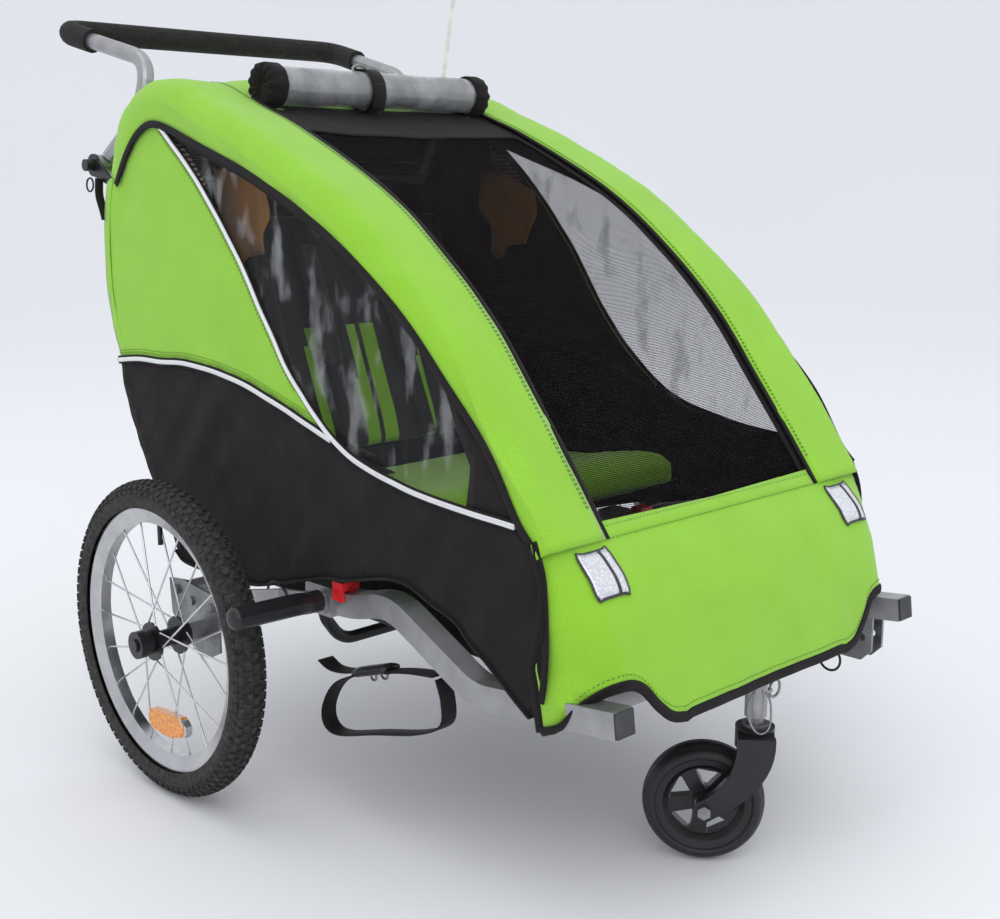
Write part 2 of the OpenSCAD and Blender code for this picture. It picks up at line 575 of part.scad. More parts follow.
// ---- Extras ----
module rain_cover_roll() color([0.7, 0.72, 0.74, 0.7]) place()
    x_rod(-roll_half + 24, roll_half - 24, roll_y, roll_z, roll_r - 2);
module roll_caps() color("#1a1a1a") place() both_sides()
    x_rod(roll_half - 24, roll_half, roll_y, roll_z, roll_r);
module roll_strap() color("#151515") place() difference() {
    x_rod(-12, 12, roll_y, roll_z, roll_r + 1);
    x_rod(-13, 13, roll_y, roll_z, roll_r - 2);
}
module flag_pole() color("whitesmoke") place() translate(pole_foot) rotate([pole_lean, 0, 0]) {
    cylinder(h = 26, r = pole_d / 2 + 3);
    cylinder(h = pole_len, r = pole_d / 2);
    translate([0, 0, pole_len / 2 - 20]) cylinder(h = 40, r = pole_d / 2 + 1);
}
module flag_pennant() color("orange") place() translate(pole_foot) rotate([pole_lean, 0, 0])
    across(-1, 1) polygon([[pole_d / 2 + 0.2, pole_len - 6], [pole_d / 2 + 0.2, pole_len - 176],
        [pole_d / 2 + 210, pole_len - 91]]);

strap_line = [[-388, 222], [-392, 172], [-352, 146], [-280, 126], [-206, 104], [-180, 128], [-206, 172],
              [-262, 196], [-330, 214], [-372, 226]];
module tie_strap() color("#161616") place() {
    across(-hitch_x + 2, -hitch_x + 24) ribbon(rounded(strap_line, 22, 4), 2.4);
    translate([-hitch_x, -262, 186]) rotate([16, 0, 0]) cube([26, 48, 16]);
}

side_rail_left();
side_rail_right();
rear_stays();
rail_end_plugs();
rail_button_left();
rail_button_right();
front_cross_tube();
rear_cross_tube();
wheel_guards();
axle_plate_left();
axle_plate_right();
frame_bolts();
axle_left();
axle_right();
axle_button_left();
axle_button_right();
hitch_bracket();
hitch_pin();
floor_board();
caster_receiver();
caster_stem();
caster_fork();
caster_bolt();
caster_wheel();
caster_tyre();
caster_lock_pin();
tyre_left();
tyre_right();
rim_left();
rim_right();
spokes_left();
spokes_right();
hub_left();
hub_right();
canopy_arch_left();
canopy_arch_right();
canopy_rear_tube();
arch_feet();
canopy_band_left();
canopy_band_right();
rain_cover_roll();
roll_caps();
roll_strap();
flag_pole();
flag_pennant();
strut_frame();
handlebar();
handle_grip();
handle_clamps();
side_panel_left();
side_panel_right();
side_windows();
front_cover();
front_screen();
rear_panel();
seat_back();
seat_base();
harness();
front_reflectors();
tie_strap();
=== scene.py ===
"""Looks for the child bicycle trailer: fabric, tyres, roll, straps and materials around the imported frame.

Shapes are in millimetres from the rear axle, as in the part's source; mm() turns them into the frame.
"""

import math

import bpy
import numpy as np
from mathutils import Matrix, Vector, noise
from mathutils.geometry import delaunay_2d_cdt


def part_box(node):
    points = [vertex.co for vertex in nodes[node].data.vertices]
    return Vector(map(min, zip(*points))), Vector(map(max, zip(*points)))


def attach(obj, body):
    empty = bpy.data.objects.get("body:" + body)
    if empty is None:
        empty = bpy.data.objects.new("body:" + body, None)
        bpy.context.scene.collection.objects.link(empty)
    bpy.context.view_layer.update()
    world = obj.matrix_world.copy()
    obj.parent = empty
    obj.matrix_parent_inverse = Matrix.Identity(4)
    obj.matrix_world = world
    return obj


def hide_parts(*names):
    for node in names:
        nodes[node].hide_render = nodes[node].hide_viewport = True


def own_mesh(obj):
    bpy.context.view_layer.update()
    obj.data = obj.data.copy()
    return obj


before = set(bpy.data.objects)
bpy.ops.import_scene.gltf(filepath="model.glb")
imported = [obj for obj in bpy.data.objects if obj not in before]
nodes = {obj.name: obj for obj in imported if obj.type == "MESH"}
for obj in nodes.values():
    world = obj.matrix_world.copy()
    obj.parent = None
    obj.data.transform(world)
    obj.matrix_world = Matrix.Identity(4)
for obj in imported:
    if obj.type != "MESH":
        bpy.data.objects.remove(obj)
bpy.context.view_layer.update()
axle_lo, axle_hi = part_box("axle_left")
AXLE_Y = (axle_lo[1] + axle_hi[1]) / 2
WHEEL_X, WHEEL_R = 375, 200  # half the track, and the tyre's outer radius
FOLDED = 0.47  # height (m) the fabric below the hood keeps when the canopy folds; here it is only passed on as settle()'s fold flag
scene = bpy.context.scene


def mm(p):
    return Vector((p[0] / 1000, p[1] / 1000 + AXLE_Y, p[2] / 1000))


# ---- Camera, floor, light ----
turn, rise = math.radians(-44.31), math.radians(11.39)
back = Vector((math.sin(turn) * math.cos(rise), -math.cos(turn) * math.cos(rise), math.sin(rise)))
cam_data = bpy.data.cameras.new("camera")
cam_data.lens, cam_data.sensor_width = 49.5, 36
camera = bpy.data.objects.new("camera", cam_data)
camera.location = mm((-1217, -1458, 755))
camera.rotation_mode = "QUATERNION"
camera.rotation_quaternion = (-back).to_track_quat("-Z", "Y")
scene.collection.objects.link(camera)
scene.camera = camera
scene.view_settings.view_transform = "Standard"


# ---- Materials ----
class Mat:
    """A Principled material with procedural textures. Coordinates are "Object" or "UV", both in metres."""

    def __init__(self, name, color=(0.5, 0.5, 0.5), rough=0.5, metal=0.0, coords="Object", **sockets):
        self.m = bpy.data.materials.new(name)
        self.m.use_nodes = True
        self.t = self.m.node_tree
        self.b = next(n for n in self.t.nodes if n.type == "BSDF_PRINCIPLED")
        self.b.inputs["Base Color"].default_value = (*color, 1)
        self.b.inputs["Roughness"].default_value = rough
        self.b.inputs["Metallic"].default_value = metal
        for k, v in sockets.items():
            self.b.inputs[k.replace("_", " ")].default_value = v
        self.m.diffuse_color = (*color, 1)
        self.at = self.t.nodes.new("ShaderNodeTexCoord").outputs[coords]
        self.last = None

    def scaled(self, stretch):
        n = self.t.nodes.new("ShaderNodeMapping")
        n.inputs["Scale"].default_value = stretch
        self.t.links.new(self.at, n.inputs["Vector"])
        return n.outputs[0]

    def noise(self, size, detail=3, stretch=(1, 1, 1)):
        n = self.t.nodes.new("ShaderNodeTexNoise")
        n.inputs["Scale"].default_value = 1 / size
        n.inputs["Detail"].default_value = detail
        self.t.links.new(self.scaled(stretch), n.inputs["Vector"])
        return n.outputs[0]

    def cells(self, size, feature="F1"):
        n = self.t.nodes.new("ShaderNodeTexVoronoi")
        n.feature = feature
        n.inputs["Scale"].default_value = 1 / size
        self.t.links.new(self.at, n.inputs["Vector"])
        return n.outputs["Distance"]

    def bands(self, pitch, axis="X", warp=0.0):
        n = self.t.nodes.new("ShaderNodeTexWave")
        n.bands_direction = axis
        n.inputs["Scale"].default_value = 0.31416 / pitch
        n.inputs["Distortion"].default_value = warp
        self.t.links.new(self.at, n.inputs["Vector"])
        return n.outputs["Fac"]

    def math(self, op, a, b):
        n = self.t.nodes.new("ShaderNodeMath")
        n.operation = op
        for i, v in enumerate((a, b)):
            if isinstance(v, (int, float)):
                n.inputs[i].default_value = v
            else:
                self.t.links.new(v, n.inputs[i])
        return n.outputs[0]

    def ramp(self, fac, *stops):
        n = self.t.nodes.new("ShaderNodeValToRGB")
        while len(n.color_ramp.elements) < len(stops):
            n.color_ramp.elements.new(0.5)
        for e, (at, c) in zip(n.color_ramp.elements, stops):
            e.position = at
            e.color = (*c, 1) if isinstance(c, tuple) else (c, c, c, 1)
        self.t.links.new(fac, n.inputs[0])
        return n.outputs[0]

    def to(self, socket, value):
        self.t.links.new(value, self.b.inputs[socket])
        return self

    def bump(self, height, depth, strength=1.0):
        n = self.t.nodes.new("ShaderNodeBump")
        n.inputs["Distance"].default_value = depth
        n.inputs["Strength"].default_value = strength
        self.t.links.new(height, n.inputs["Height"])
        if self.last:
            self.t.links.new(self.last, n.inputs["Normal"])
        self.last = n.outputs[0]
        self.t.links.new(self.last, self.b.inputs["Normal"])
        return self


def tone(c, k):
    return tuple(min(v * k, 1) for v in c)


def metal(name, color, rough, grain, dirt=0.75, metallic=1.0):
    m = Mat(name, color, rough, metallic)
    m.to("Base Color", m.ramp(m.noise(0.03, 5), (0.3, tone(color, dirt)), (0.62, color)))
    m.to("Roughness", m.ramp(m.noise(0.012, 6), (0.25, rough * 0.8), (0.75, min(rough * 1.35, 1))))
    return m.bump(m.noise(grain, 2), 0.00008).bump(m.noise(0.004, 5, (1, 1, 14)), 0.00004)


def plastic(name, color, rough, grain=0.0007):
    m = Mat(name, color, rough)
    m.to("Base Color", m.ramp(m.noise(0.02, 6), (0.3, tone(color, 0.8)), (0.7, tone(color, 1.3))))
    m.to("Roughness", m.ramp(m.noise(0.009, 5), (0.3, rough * 0.85), (0.7, min(rough * 1.25, 1))))
    return m.bump(m.noise(grain, 2), 0.00006)


def cloth(name, color, rough=0.85, pitch=0.0011, sheen=0.3, folds=0.0016, mottle=0.12):
    m = Mat(name, color, rough, coords="UV", Sheen_Weight=sheen, Sheen_Roughness=0.45)
    m.b.inputs["Specular IOR Level"].default_value = 0.25
    weave = m.math("ADD", m.bands(pitch, "X"), m.bands(pitch, "Y"))
    mix = m.math("ADD", m.math("MULTIPLY", m.noise(0.0016, 3), 0.6), m.math("MULTIPLY", m.noise(0.07, 4),
                                                                            0.4))
    m.to("Base Color", m.ramp(mix, (0.25, tone(color, 1 - mottle)), (0.75, tone(color, 1 + mottle))))
    m.to("Roughness", m.ramp(m.noise(0.05, 3), (0.3, rough * 0.92), (0.7, min(rough * 1.1, 1))))
    m.bump(weave, 0.00012).bump(m.noise(0.045, 3, (1, 0.45, 1)), folds)
    return m


GREEN = (0.285, 0.6, 0.036)
rail = metal("rail_silver", (0.37, 0.37, 0.38), 0.34, 0.0012, 0.82, 0.75)
black_steel = metal("black_steel", (0.018, 0.018, 0.02), 0.36, 0.001, 0.7, 0.2)
zinc = metal("zinc_plate", (0.34, 0.345, 0.355), 0.4, 0.0025, 0.7)
alloy = metal("polished_alloy", (0.55, 0.55, 0.56), 0.22, 0.002, 0.8)
spoke = metal("spoke_steel", (0.72, 0.72, 0.74), 0.22, 0.002, 0.85)
black_plastic = plastic("black_plastic", (0.008, 0.008, 0.0095), 0.34)
caster_rubber = plastic("caster_rubber", (0.009, 0.009, 0.0105), 0.5)
grey_plastic = plastic("grey_plastic", (0.035, 0.035, 0.038), 0.5)
red_plastic = plastic("red_plastic", (0.75, 0.02, 0.025), 0.3)
pole_plastic = plastic("pole_plastic", (0.8, 0.8, 0.78), 0.3)
tyre_rubber = plastic("tyre_rubber", (0.03, 0.028, 0.027), 0.8, 0.0012)
tyre_rubber.to("Base Color", tyre_rubber.ramp(tyre_rubber.noise(0.006, 6), (0.35, (0.012, 0.011, 0.011)),
                                              (0.75, (0.05, 0.046, 0.044))))
foam = plastic("foam", (0.012, 0.01, 0.01), 0.95)
foam.bump(foam.cells(0.0022), 0.0005).bump(foam.noise(0.008, 4), 0.0005)
green = cloth("green_fabric", GREEN)
black = cloth("black_fabric", (0.0125, 0.0095, 0.01), 0.9, sheen=0.04, folds=0.003, mottle=0.35)
seat_black = cloth("seat_black", (0.02, 0.019, 0.019), 0.9, pitch=0.0016, mottle=0.3)
seat_green = cloth("seat_green", tone(GREEN, 0.85), 0.9, pitch=0.0016)
# The near-black lining on the cabin side of the sheets keeps the inside dark: painted shade for the shaded
# cabin.
painted_shade_lining = cloth("black_lining", (0.01, 0.009, 0.009), 0.9, sheen=0.05)
tape = cloth("binding_tape", (0.011, 0.009, 0.0095), 0.8, pitch=0.0013, sheen=0.03, folds=0.0003)
white_piping = cloth("white_piping", (0.86, 0.87, 0.88), 0.45, pitch=0.001, sheen=0.1, folds=0.0001,
                     mottle=0.05)
thread = cloth("green_thread", tone(GREEN, 0.55), 0.6, pitch=0.0006, folds=0.00005)
webbing = cloth("webbing", (0.008, 0.0075, 0.0075), 0.7, pitch=0.0016, sheen=0.05, folds=0.0002, mottle=0.35)
orange = cloth("pennant_cloth", (0.9, 0.2, 0.01), 0.7, pitch=0.0008, folds=0.002)
tan = cloth("tan_pouch", (0.33, 0.14, 0.02), 0.8, folds=0.004, mottle=0.25)

net_cloth = cloth("striped_net", (0.3, 0.24, 0.2), 0.8, folds=0.001)
net_cloth.to("Base Color", net_cloth.ramp(net_cloth.bands(0.006, "Y"), (0.35, (0.02, 0.015, 0.014)),
                                          (0.6, (0.42, 0.33, 0.27))))

reflect = Mat("reflective_sheeting", (0.82, 0.84, 0.86), 0.22, 0.35, "UV")
reflect.to("Base Color", reflect.ramp(reflect.cells(0.0024), (0.1, (0.9, 0.91, 0.93)),
                                      (0.6, (0.62, 0.64, 0.68))))
reflect.bump(reflect.cells(0.0024, "DISTANCE_TO_EDGE"), 0.0003)
amber = Mat("amber_reflector", (0.95, 0.32, 0.01), 0.12, 0, Coat_Weight=0.6)
amber.to("Base Color", amber.ramp(amber.cells(0.004), (0.1, (1.0, 0.45, 0.03)), (0.7, (0.75, 0.2, 0.0))))
amber.bump(amber.cells(0.004), 0.0008)

mesh = Mat("mesh_fabric", (0.012, 0.01, 0.011), 0.9, coords="UV")
mesh.b.inputs["Specular IOR Level"].default_value = 0.1
holes = mesh.math("MULTIPLY", mesh.bands(0.0021, "X"), mesh.bands(0.0021, "Y"))
mesh.to("Alpha", mesh.ramp(holes, (0.02, 0.85), (0.1, 0.04)))
mesh.to("Base Color", mesh.ramp(mesh.noise(0.02, 3), (0.3, (0.006, 0.005, 0.0055)),
                                (0.7, (0.013, 0.011, 0.012))))
mesh.bump(holes, 0.0002)


def film(name, color, rough, clear, streak_alpha, size, stops):
    m = Mat(name, color, rough, coords="UV", Coat_Weight=1.0, Coat_Roughness=0.06)
    m.b.inputs["Specular IOR Level"].default_value = 1.0
    # Where the stretched noise is high, the film turns opaque and light grey. On the window film these
    # streaks are painted highlights on its wrinkles.
    m.to("Alpha", m.ramp(m.noise(size, 6, (1, 0.4, 1)), (stops[0], clear), (stops[1], streak_alpha)))
    m.to("Base Color", m.ramp(m.noise(0.03, 5), (0.3, tone(color, 0.75)), (0.7, color)))
    return m.bump(m.noise(0.035, 2, (1, 0.5, 1)), 0.003).bump(m.noise(0.15, 2), 0.012)


# Window film: a light grey base colour with opaque streaks, which are painted highlights on the wrinkles.
vinyl = film("clear_vinyl", (0.5, 0.51, 0.52), 0.05, 0.02, 0.26, 0.032, (0.53, 0.72))
roll_vinyl = film("rolled_vinyl", (0.42, 0.43, 0.445), 0.14, 0.25, 0.8, 0.05, (0.4, 0.68))

floor_mat = Mat("floor", (0.86, 0.865, 0.88), 0.85)
floor_mat.to("Base Color", floor_mat.ramp(floor_mat.noise(2.5, 2), (0.3, (0.855, 0.86, 0.875)),
                                          (0.7, (0.87, 0.875, 0.89))))
floor_mat.bump(floor_mat.noise(0.01, 2), 0.0001)


# ---- Building ----
def put(name, points, faces, mat, uv=None, smooth=True, metres=False):
    me = bpy.data.meshes.new(name)
    me.from_pydata([tuple(p) if metres else tuple(mm(p)) for p in points], [], faces)
    if uv is not None:
        layer = me.uv_layers.new(name="UVMap")
        where = np.array([uv[loop.vertex_index] for loop in me.loops], np.float32) / 1000
        layer.data.foreach_set("uv", where.ravel())
    me.materials.append(mat.m)
    if smooth:
        me.polygons.foreach_set("use_smooth", [True] * len(me.polygons))
    o = bpy.data.objects.new(name, me)
    scene.collection.objects.link(o)
    return o


def settle(o, body="root", nodes_replaced=(), fold=None):
    """Gives a finished piece its body and hides the CAD nodes it replaces; with fold set it gets its own mesh
    data.
    """
    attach(o, body)
    if nodes_replaced:
        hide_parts(*nodes_replaced)
    if fold:
        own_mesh(o)
    return o


def hang(o, nodes_replaced=()):
    """Settles fabric that stays on the frame onto the root body; on the trailer it folds down with the
    canopy, but nothing here folds it.
    """
    return settle(o, "root", nodes_replaced, FOLDED)


def thicken(o, t):
    s = o.modifiers.new("thickness", "SOLIDIFY")
    s.thickness, s.offset = t / 1000, 0
    return o


def line_inside(o, mat, centre=(0, -120, 480)):
    """Gives the side of a sheet that faces the cabin's middle the lining's material."""
    me, mid = o.data, mm(centre)
    if sum((p.center - mid).normalized().dot(p.normal) * p.area for p in me.polygons) < 0:
        me.flip_normals()
    me.materials.append(mat.m)
    s = o.modifiers["thickness"]
    s.material_offset, s.material_offset_rim = 1, 0
    return o


def steps(p):
    p = np.array(p, float)
    return np.concatenate([[0], np.cumsum(np.linalg.norm(np.diff(p, axis=0), axis=1))])


def along(path, count):
    p, s = np.array(path, float), steps(path)
    at = np.linspace(0, s[-1], count)
    return np.stack([np.interp(at, s, p[:, i]) for i in range(p.shape[1])], 1)


def curve(path, step=8.0):
    """A smooth curve through the points, at even steps."""
    p = np.array(path, float)
    q = np.vstack([2 * p[0] - p[1], p, 2 * p[-1] - p[-2]])
    out = []
    for i in range(1, len(q) - 2):
        for t in np.linspace(0, 1, 12, endpoint=False):
            out.append(0.5 * (2 * q[i] + (q[i + 1] - q[i - 1]) * t
                              + (2 * q[i - 1] - 5 * q[i] + 4 * q[i + 1] - q[i + 2]) * t * t
                              + (3 * q[i] - q[i - 1] - 3 * q[i + 1] + q[i + 2]) * t ** 3))
    out.append(p[-1])
    return along(out, max(3, int(steps(out)[-1] / step) + 1))


def soft(p, size, depth, seed=0.0):
    """Smooth noise for folds, from -depth to depth."""
    return depth * noise.noise(Vector((p[0] / size, p[1] / size, p[2] / size + seed)))


def grid(name, rows, mat, keep=None, thick=1.2):
    """A sheet through rows of points; keep(i, j) says which cells stay."""
    n, k = len(rows), len(rows[0])
    pts = [p for r in rows for p in r]
    us = steps([r[k // 2] for r in rows])
    vs = steps(rows[n // 2])
    faces = [(i * k + j, i * k + j + 1, (i + 1) * k + j + 1, (i + 1) * k + j)
             for i in range(n - 1) for j in range(k - 1) if keep is None or keep(i, j)]
    used = sorted({v for f in faces for v in f})
    new = {v: a for a, v in enumerate(used)}
    o = put(name, [pts[v] for v in used], [tuple(new[v] for v in f) for f in faces], mat,
            [(vs[v % k], us[v // k]) for v in used])
    return thicken(o, thick)


def inside(poly, x, y):
    p, q = np.array(poly), np.roll(np.array(poly), -1, 0)
    across = (q[:, 0] - p[:, 0]) * (y - p[:, 1]) / (q[:, 1] - p[:, 1] + 1e-12) + p[:, 0]
    hit = ((p[:, 1] > y) != (q[:, 1] > y)) & (x < across)
    return bool(hit.sum() % 2)


def flat_cut(name, outline, lift, mat, step=11.0, thick=1.2):
    """A sheet cut to an outline (a, b) and lifted to three dimensions by lift(a, b)."""
    ring = along([*outline, outline[0]], max(12, int(steps([*outline, outline[0]])[-1] / step)))[:-1]
    lo, hi = ring.min(0), ring.max(0)
    pts = [Vector(p) for p in ring]
    for i, a in enumerate(np.arange(lo[0] + step / 2, hi[0], step)):
        for b in np.arange(lo[1] + (step / 2 if i % 2 else 0.1), hi[1], step):
            if inside(ring, a, b) and np.linalg.norm(ring - (a, b), axis=1).min() > step * 0.55:
                pts.append(Vector((a, b)))
    n = len(ring)
    vs, _, fs, _, _, _ = delaunay_2d_cdt(pts, [(i, (i + 1) % n) for i in range(n)], [], 0, 1e-4)
    fs = [f for f in fs if inside(ring, *(sum((vs[v] for v in f), Vector((0, 0))) / len(f)))]
    o = put(name, [lift(*v) for v in vs], fs, mat, [tuple(v) for v in vs])
    return thicken(o, thick)


def ring_section(r, k=10):
    return [(r * math.cos(2 * math.pi * i / k), r * math.sin(2 * math.pi * i / k)) for i in range(k)]


def oval(a, b, k=12):
    return [(x * a, y * b) for x, y in ring_section(1, k)]


def around(count):
    """Angles of a full turn in even steps."""
    return np.linspace(0, 2 * math.pi, count + 1)[:-1]


def strip_section(w, t):
    """A flat strip w wide and t thick with rounded edges; its thickness is along the normal."""
    return [(t / 2, -w / 2 + t / 3), (t / 2, w / 2 - t / 3), (t / 5, w / 2), (-t / 5, w / 2),
            (-t / 2, w / 2 - t / 3), (-t / 2, -w / 2 + t / 3), (-t / 5, -w / 2), (t / 5, -w / 2)]


def sweep_parts(path, section, up, closed=False):
    p = np.array(path, float)
    n = len(p)
    ups = np.array(up, float) if np.ndim(up) == 2 else np.tile(np.array(up, float), (n, 1))
    nxt, prv = (np.roll(p, -1, 0), np.roll(p, 1, 0)) if closed else (p[[*range(1, n), n - 1]],
                                                                     p[[0, *range(n - 1)]])
    t = nxt - prv
    t /= np.linalg.norm(t, axis=1)[:, None]
    m = ups - (ups * t).sum(1)[:, None] * t
    m /= np.linalg.norm(m, axis=1)[:, None]
    b = np.cross(t, m)
    k = len(section)
    pts = [p[i] + a * m[i] + c * b[i] for i in range(n) for a, c in section]
    faces = [(i * k + j, i * k + (j + 1) % k, (i + 1) % n * k + (j + 1) % k, (i + 1) % n * k + j)
             for i in range(n if closed else n - 1) for j in range(k)]
    if not closed:
        faces += [tuple(range(k))[::-1], tuple(range((n - 1) * k, n * k))]
    s = steps(p)
    w = steps([*section, section[0]])
    return pts, faces, [(w[j], s[i]) for i in range(n) for j in range(k)]


def sweep(name, path, section, mat, up=(0, 0, 1), closed=False):
    pts, faces, uv = sweep_parts(path, section, up, closed)
    return put(name, pts, faces, mat, uv)


def merged(name, parts, mat, smooth=True):
    """One piece from several (points, faces, uv)."""
    pts, faces, uv = [], [], []
    for p, f, u in parts:
        base = len(pts)
        pts += list(p)
        faces += [tuple(base + v for v in q) for q in f]
        uv += list(u)
    return put(name, pts, faces, mat, uv, smooth)


def stitch_parts(path, up, length=3.4, gap=2.0, wide=0.9):
    """A row of sewn stitches along a path."""
    p = along(path, int(steps(path)[-1] / (length + gap)) * 2 + 1)
    ups = along(up, len(p)) if np.ndim(up) == 2 else np.tile(np.array(up, float), (len(p), 1))
    section = [(0.3, -wide / 2), (0.3, wide / 2), (-0.3, wide / 2), (-0.3, -wide / 2)]
    out = []
    for i in range(0, len(p) - 1, 2):
        a, b = p[i], p[i] + (p[i + 1] - p[i]) * min(1, length / max(np.linalg.norm(p[i + 1] - p[i]), 1e-6))
        mid = (a + b) / 2 + ups[i] * 0.35
        out.append(sweep_parts([a, mid, b], section, ups[i]))
    return out


def lathe_x(name, profile, mat, centre, count=96, closed=False):
    """A turned shape about an axle along X; profile is (x, radius)."""
    cx, cy, cz = centre
    k = len(profile)
    pts = [(cx + x, cy + r * math.sin(2 * math.pi * i / count), cz + r * math.cos(2 * math.pi * i / count))
           for i in range(count) for x, r in profile]
    faces = [(i * k + j, i * k + (j + 1) % k, (i + 1) % count * k + (j + 1) % k, (i + 1) % count * k + j)
             for i in range(count) for j in range(k if closed else k - 1)]
    w = steps(profile)
    return put(name, pts, faces, mat, [(w[j], i * 4.0) for i in range(count) for j in range(k)])


def puff(o, cap=0.006, voxel=0.008):
    """Fills a pad by cloth simulation under slight pressure, and caps how far a point moves (metres)."""
    bpy.context.view_layer.objects.active = o
    r = o.modifiers.new("remesh", "REMESH")
    r.mode, r.voxel_size = "VOXEL", voxel
    bpy.ops.object.modifier_apply(modifier=r.name)
    rest = np.array([v.co for v in o.data.vertices])
    c = o.modifiers.new("cloth", "CLOTH")
    c.settings.use_pressure = True
    c.settings.uniform_pressure_force = 4
    c.settings.effector_weights.gravity = 0
    for f in range(1, 21):
        scene.frame_set(f)
    e = o.evaluated_get(bpy.context.evaluated_depsgraph_get())
    now = np.array([v.co for v in e.data.vertices])
    o.modifiers.remove(c)
    scene.frame_set(1)
    move = now - rest
    far = np.linalg.norm(move, axis=1)[:, None]
    now = rest + move * np.minimum(1, cap / np.maximum(far, 1e-9))
    o.data.vertices.foreach_set("co", now.ravel())
    o.data.update()
    o.data.polygons.foreach_set("use_smooth", [True] * len(o.data.polygons))
    s = o.modifiers.new("smooth", "SUBSURF")
    s.levels = s.render_levels = 1
    return o


# ---- Floor and light: a wide plate whose rim curves up far away, and four soft lights ----
rows = []
rim = [(9 + 5 * math.sin(a), 5 - 5 * math.cos(a)) for a in np.linspace(0.08, 1.25, 16)]
for r, z in [(0.0001, 0), (1, 0), (3, 0), (9, 0), *rim]:
    rows.append([(r * math.cos(a), r * math.sin(a), z) for a in np.linspace(0, 2 * math.pi, 73)])
k = len(rows[0])
faces = [(i * k + j, i * k + j + 1, (i + 1) * k + j + 1, (i + 1) * k + j)
         for i in range(len(rows) - 1) for j in range(k - 1)]
floor = put("floor", [p for r in rows for p in r], faces, floor_mat, metres=True)
floor.location.z = -0.0005

world = bpy.data.worlds.new("studio")
world.use_nodes = True
world.node_tree.nodes["Background"].inputs[0].default_value = (0.93, 0.95, 1.0, 1)
world.node_tree.nodes["Background"].inputs[1].default_value = 0.96
scene.world = world
for name, where, size, power in [("key", (-2.6, -2.8, 3.2), 3.0, 40), ("fill", (3.2, -2.4, 2.6), 3.0, 5),
                                 ("top", (-0.6, 0.4, 4.0), 2.6, 16), ("rear", (-1.5, 3.4, 2.4), 2.6, 4)]:
    light = bpy.data.lights.new(name, "AREA")
    light.size, light.energy = size, power
    o = bpy.data.objects.new(name, light)
    o.location = where
    o.rotation_mode = "QUATERNION"
    o.rotation_quaternion = (Vector((0, 0, 0.45)) - Vector(where)).to_track_quat("-Z", "Y")
    scene.collection.objects.link(o)

# ---- CAD nodes that keep their shape ----
finish = {"rail_steel": rail, "black_steel": black_steel, "zinc": zinc, "polished_alloy": alloy,
          "spoke_steel": spoke,
          "black_plastic": black_plastic, "red_plastic": red_plastic, "grey_plastic": grey_plastic,
          "foam": foam,
          "tyre_rubber": tyre_rubber, "green_fabric": green, "black_fabric": black, "mesh_fabric": mesh,
          "clear_vinyl": vinyl, "reflective": reflect, "webbing": webbing, "pennant": orange,
          "pole_plastic": pole_plastic}
for o in nodes.values():
    for s in o.material_slots:
        known = [v for key, v in finish.items() if s.material and s.material.name.split(".")[0] == key]
        if known:
            s.material = known[0].m
for n in ("side_rail_left", "side_rail_right", "rear_stays", "front_cross_tube", "rail_end_plugs",
          "rail_button_left",
          "rail_button_right", "axle_plate_left", "axle_plate_right", "hitch_bracket", "caster_fork",
          "caster_wheel",
          "handle_clamps", "caster_receiver", "caster_stem", "frame_bolts", "axle_left", "axle_right"):
    b = nodes[n].modifiers.new("edges", "BEVEL")
    b.width = 0.0022 if n.startswith(("side_rail", "rear_stays", "rail_")) else 0.0009
    b.segments, b.limit_method, b.angle_limit, b.harden_normals = 3, "ANGLE", math.radians(50), False

# ---- Lines of the cabin, as (y, z), from the part's source ----
CREST = [(-565, 400), (-522, 458), (-474, 519), (-409, 600), (-326, 676), (-221, 749), (-70, 820), (11, 850),
         (84, 878), (140, 882), (190, 864), (226, 824), (246, 768)]
SKIRT = [(-551, 409), (-531, 430), (-489, 494), (-430, 553), (-353, 624), (-237, 699), (-107, 758), (16, 799),
         (106, 826), (150, 818), (185, 790), (214, 752)]
APRON = [(-549, 410), (-588, 370), (-611, 330), (-620, 300), (-630, 262), (-638, 222), (-642, 204)]
REAR = [(232, 786), (250, 745), (262, 679), (262, 612), (247, 558), (231, 519), (215, 452), (166, 369),
        (112, 275)]
SIDE_X, SCREEN_X = 285, 190  # outer side of the walls, and half the opening between the bands
PIPING = [(100, 822), (17, 752), (-63, 665), (-120, 586), (-176, 521), (-257, 462), (-352, 437), (-431, 428),
          (-530, 423)]
PIPING_LOW = [(234, 519), (180, 525), (126, 526), (60, 529), (-37, 521), (-120, 503), (-180, 486),
              (-236, 470)]
BELLY = [(112, 275), (80, 262), (-56, 264), (-148, 286), (-218, 305), (-256, 310), (-338, 329), (-380, 322),
         (-444, 300),
         (-503, 258), (-548, 228)]
FRONT_EDGE = [(-553, 405), (-566, 372), (-568, 330), (-566, 290), (-560, 250)]
# Outline of a black sheet over the window's front corner: painted shade for the dark cabin seen through the
# pane.
CORNER_SHADE = [(-553, 402), (-430, 424), (-455, 428), (-462, 472), (-440, 512), (-425, 546), (-489, 494),
          (-531, 430)]

crest = curve(CREST, 9)
skirt = along(curve(SKIRT, 9), len(crest))
cn = np.gradient(crest, axis=0)
cn = np.stack([-cn[:, 1], cn[:, 0]], 1)
cn /= np.linalg.norm(cn, axis=1)[:, None]


